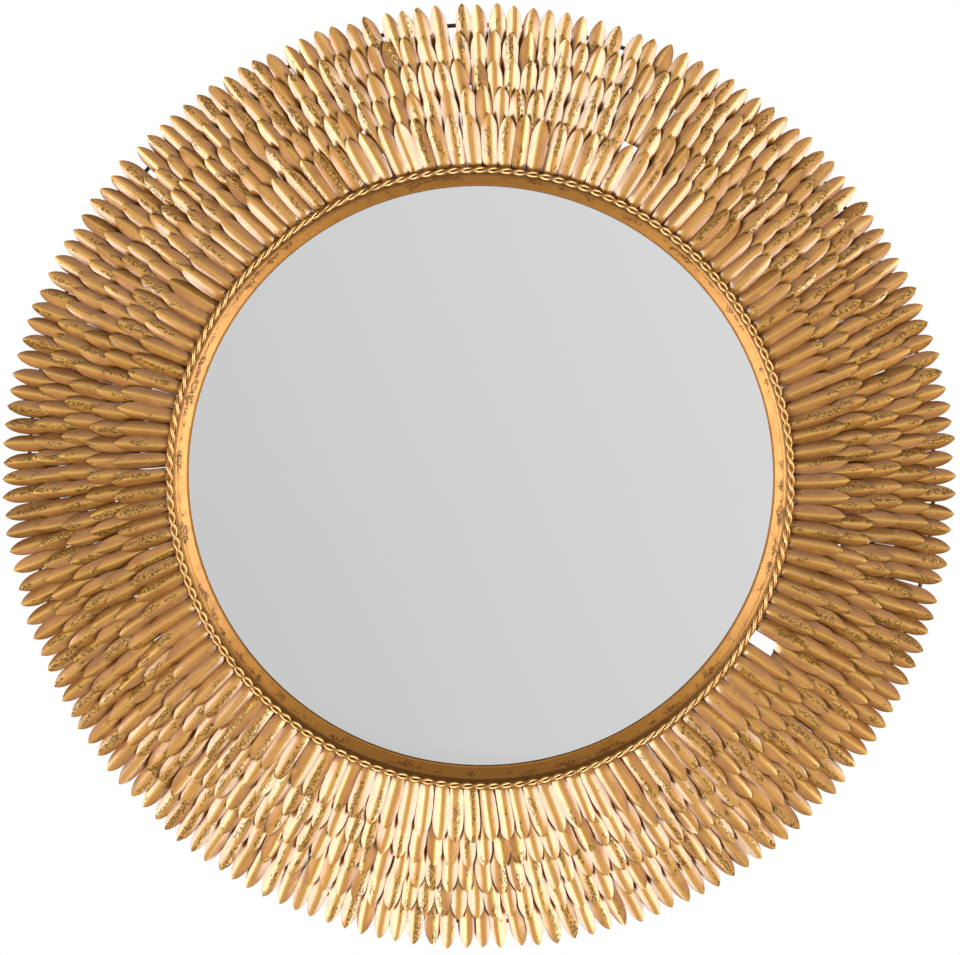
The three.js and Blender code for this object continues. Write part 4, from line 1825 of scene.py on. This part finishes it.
@dataclass
class Studio:
    """Camera, two tall soft lights, a pale world and a pale floor.

    Args:
        azimuth: Camera's clock direction about the object in degrees.
        elevation: Camera's height angle in degrees.
        distance: Camera's distance from its target.
        target: What the camera looks at.
        view_width: What the picture's width covers at the target.
        sensor: Width of the camera's sensor in millimetres.
        light_azimuth: Angle of each soft light from the front in degrees.
        light_height: Height angle of the lights.
        light_distance: Their distance.
        light_size: Their width and height.
        light_radiance: How bright their faces are.
        light_colour: Their colour.
        ambient: Strength of the world on matt surfaces.
        front_grey: How bright metal and glass see what is straight in front.
        ring_grey: How bright they see the room round that.
        front_tilt: How much brighter that is towards the right and the top.
        front_edge: Forward parts of a direction between which the straight view ends.
        ring_edge: Forward parts between which the room turns white.
        floor_radius: Radius of the floor.
        floor_sides: Sides of the floor.
        floor_drop: Depth of the floor below the middle.
        floor_grey: The floor's reflectance.
        floor_roughness: The floor's roughness.
        floor_fade: Radii between which the floor fades into the white surround.
    """

    azimuth: float = 2.0
    elevation: float = 8.0
    distance: float = 10.0
    target: tuple[float, float, float] = (0.0, -0.0358, 0.0017)
    view_width: float = 0.9279
    sensor: float = 36.0
    light_azimuth: float = 49.5
    light_height: float = -12.0
    light_distance: float = 3.2
    light_size: tuple[float, float] = (1.9, 3.5)
    light_radiance: float = 6.95
    light_colour: Colour = (0.97, 1.04, 0.96)
    ambient: float = 0.48
    front_grey: float = 0.68
    ring_grey: float = 0.13
    front_tilt: tuple[float, float] = (0.17, 0.08)
    front_edge: tuple[float, float] = (-0.7, -0.83)
    ring_edge: tuple[float, float] = (-0.08, -0.42)
    floor_radius: float = 14.0
    floor_sides: int = 96
    floor_drop: float = 2.5
    floor_grey: float = 0.82
    floor_roughness: float = 0.7
    floor_fade: tuple[float, float] = (1.6, 3.2)

    def build(self) -> None:
        """Makes the studio."""
        bpy.context.scene.view_settings.view_transform = "Standard"
        self.camera()
        for side in Side:
            self.light(side)
        self.world()
        self.floor()

    def direction(self, azimuth: float, elevation: float) -> Vector:
        """The direction from the object to a place in front of it, by its angles in degrees."""
        a, e = math.radians(azimuth), math.radians(elevation)
        return Vector((math.sin(a) * math.cos(e), -math.cos(a) * math.cos(e), math.sin(e)))

    def place(
        self, data: bpy.types.ID, at: tuple[float, float, float] | Vector, turned_to: Vector | None = None
    ) -> bpy.types.Object:
        """Adds an object to the scene.

        Args:
            data: Its camera, light or mesh.
            at: Where it stands.
            turned_to: Where its own Z axis points, if it is turned.

        Returns:
            The object.
        """
        made = bpy.data.objects.new(data.name, data)
        bpy.context.scene.collection.objects.link(made)
        made.location = at
        if turned_to is not None:
            made.rotation_mode = "QUATERNION"
            made.rotation_quaternion = turned_to.to_track_quat("Z", "Y")
        return made

    def camera(self) -> None:
        """Makes the camera."""
        data = bpy.data.cameras.new("camera")
        data.sensor_width = self.sensor
        data.lens = self.sensor * self.distance / self.view_width
        back = self.direction(self.azimuth, self.elevation)
        bpy.context.scene.camera = self.place(data, Vector(self.target) + back * self.distance, back)

    def light(self, side: Side) -> None:
        """Makes a tall soft light on one side."""
        data = bpy.data.lights.new(f"soft_light_{side.word}", "AREA")
        data.shape = "RECTANGLE"
        data.size, data.size_y = self.light_size
        data.energy = self.light_radiance * math.pi * self.light_size[0] * self.light_size[1]
        data.color = self.light_colour
        back = self.direction(side.value * self.light_azimuth, self.light_height)
        self.place(data, back * self.light_distance, back).visible_camera = False

    def seen_directly(self, shade: Shade) -> Socket:
        """1 on rays that the camera, a gloss or a glass sends, and 0 on the rest."""
        rays = shade.node("LightPath").outputs
        direct = shade.math("MAXIMUM", rays["Is Camera Ray"], rays["Is Glossy Ray"])
        return shade.math("MAXIMUM", direct, rays["Is Transmission Ray"])

    def surround(self, shade: Shade, direction: Socket) -> Socket:
        """How bright the surround looks in a direction: white, but grey in front to metal and glass."""
        towards = shade.node("SeparateXYZ", {0: direction}).outputs
        right, top = self.front_tilt
        grey = shade.math("MULTIPLY_ADD", towards["X"], right * self.front_grey, self.front_grey)
        grey = shade.math("MULTIPLY_ADD", towards["Z"], top * self.front_grey, grey)
        room = shade.blend(shade.step(towards["Y"], *self.front_edge), self.ring_grey, grey)
        front = shade.step(towards["Y"], *self.ring_edge)
        mirrored = shade.math("MULTIPLY", front, shade.node("LightPath").outputs["Is Glossy Ray"])
        return shade.blend(mirrored, 1.0, room)

    def world(self) -> None:
        """Makes a world that looks white and lights matt surfaces softly."""
        world = bpy.data.worlds.new("studio")
        world.use_nodes = True
        world.node_tree.nodes.clear()
        shade = Shade(world.node_tree)
        strength = self.surround(shade, shade.node("TexCoord").outputs["Generated"])
        soft, seen = (
            shade.node("Background", {"Color": WHITE, "Strength": value}).outputs[0]
            for value in (self.ambient, strength)
        )
        mixed = shade.node("MixShader", {0: self.seen_directly(shade), 1: soft, 2: seen})
        shade.node("OutputWorld", {"Surface": mixed.outputs[0]})
        bpy.context.scene.world = world

    def floor(self) -> None:
        """Makes a pale round floor that fades into the white surround."""
        sides = self.floor_sides
        angles = np.arange(sides) * 2 * math.pi / sides
        rim = np.stack([np.sin(angles), np.cos(angles), np.zeros(sides)], axis=1) * self.floor_radius
        mesh = bpy.data.meshes.new("floor")
        mesh.from_pydata(rim, [], [tuple(reversed(range(sides)))])
        drop = (0.0, 0.0, -self.floor_drop)
        floor = self.place(mesh, drop)
        material, shade, shader = new_material("pale_floor")
        place = shade.node("TexCoord").outputs["Object"]
        radius = shade.node("VectorMath", {0: place}, operation="LENGTH").outputs["Value"]
        shade.feed_all(shader, {"Base Color": (self.floor_grey,) * 3, "Roughness": self.floor_roughness})
        below = shade.node("VectorMath", {0: place, 1: drop}, operation="ADD").outputs[0]
        direction = shade.node("VectorMath", {0: below}, operation="NORMALIZE").outputs[0]
        white = shade.node("Emission", {"Color": WHITE, "Strength": self.surround(shade, direction)})
        factor = shade.math("MULTIPLY", shade.step(radius, *self.floor_fade), self.seen_directly(shade))
        factor = shade.math("MAXIMUM", factor, shade.node("LightPath").outputs["Is Glossy Ray"])
        mixed = shade.node("MixShader", {0: factor, 1: shader.outputs[0], 2: white.outputs[0]})
        output = next(node for node in shade.tree.nodes if node.type == "OUTPUT_MATERIAL")
        shade.feed(output.inputs["Surface"], mixed.outputs[0])
        mesh.materials.append(material)


# ---------------------------------------------------------------- the whole


def main() -> None:
    """Builds every sub-assembly round the frame."""
    logging.basicConfig(level=logging.INFO, format="%(name)s: %(message)s")
    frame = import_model()
    Studio().build()

    leaf = GiltFinish("leaf_gilt").build()
    rope = GiltFinish(
        "rope_gilt", paint=(0.46, 0.22, 0.048), paint_thin=(0.37, 0.165, 0.033), roughness=0.42, coat=0.7
    ).build()
    bezel = GiltFinish(
        "bezel_gilt",
        paint=(0.37, 0.155, 0.026),
        paint_thin=(0.3, 0.114, 0.017),
        # Painted shade: on the bezel this darker colour paints the shadow beside the rope and the shadow line
        # at the lip.
        tarnish=(0.18, 0.075, 0.015),
        roughness=0.5,
        coat=0.3,
        coat_roughness=0.3,
        foil_cut=1.05,
        speck_cut=0.68,
        patch_scale=45.0,
        speck_scale=520.0,
    ).build()
    iron = SteelFinish("dark_iron", (0.045, 0.034, 0.027), (0.16, 0.07, 0.03), 0.5, 0.6, 0.5).build()
    zinc = SteelFinish("zinc_plate", (0.56, 0.56, 0.55), (0.34, 0.33, 0.31), 0.34, 1.0, 0.3).build()
    back_paint = MattFinish("mirror_back_paint", (0.10, 0.09, 0.085), (0.16, 0.14, 0.13), 0.6, 300.0).build()
    board = MattFinish("fibre_board", (0.055, 0.042, 0.034), (0.12, 0.09, 0.065), 0.8, 500.0).build()
    rubber = MattFinish("black_rubber", (0.02, 0.02, 0.021), (0.05, 0.05, 0.05), 0.75, 800.0).build()

    MirrorGlass().build(MirrorFinish().build(), back_paint)
    Collar().build(bezel)
    RopeTrim().build(rope)
    LeafRows().build(leaf)
    Framework().build(iron)
    screw = Screw()
    BackFittings().build(board, zinc, rubber, screw)
    Hangers().build(frame["joints"], zinc, screw)

    gasket = frame["nodes"]["rim_gasket"]
    gasket.data.materials.clear()
    gasket.data.materials.append(rubber)
    LOG.info("%s: keeps its packed solid", gasket.name)


if __name__ == "__main__":
    main()
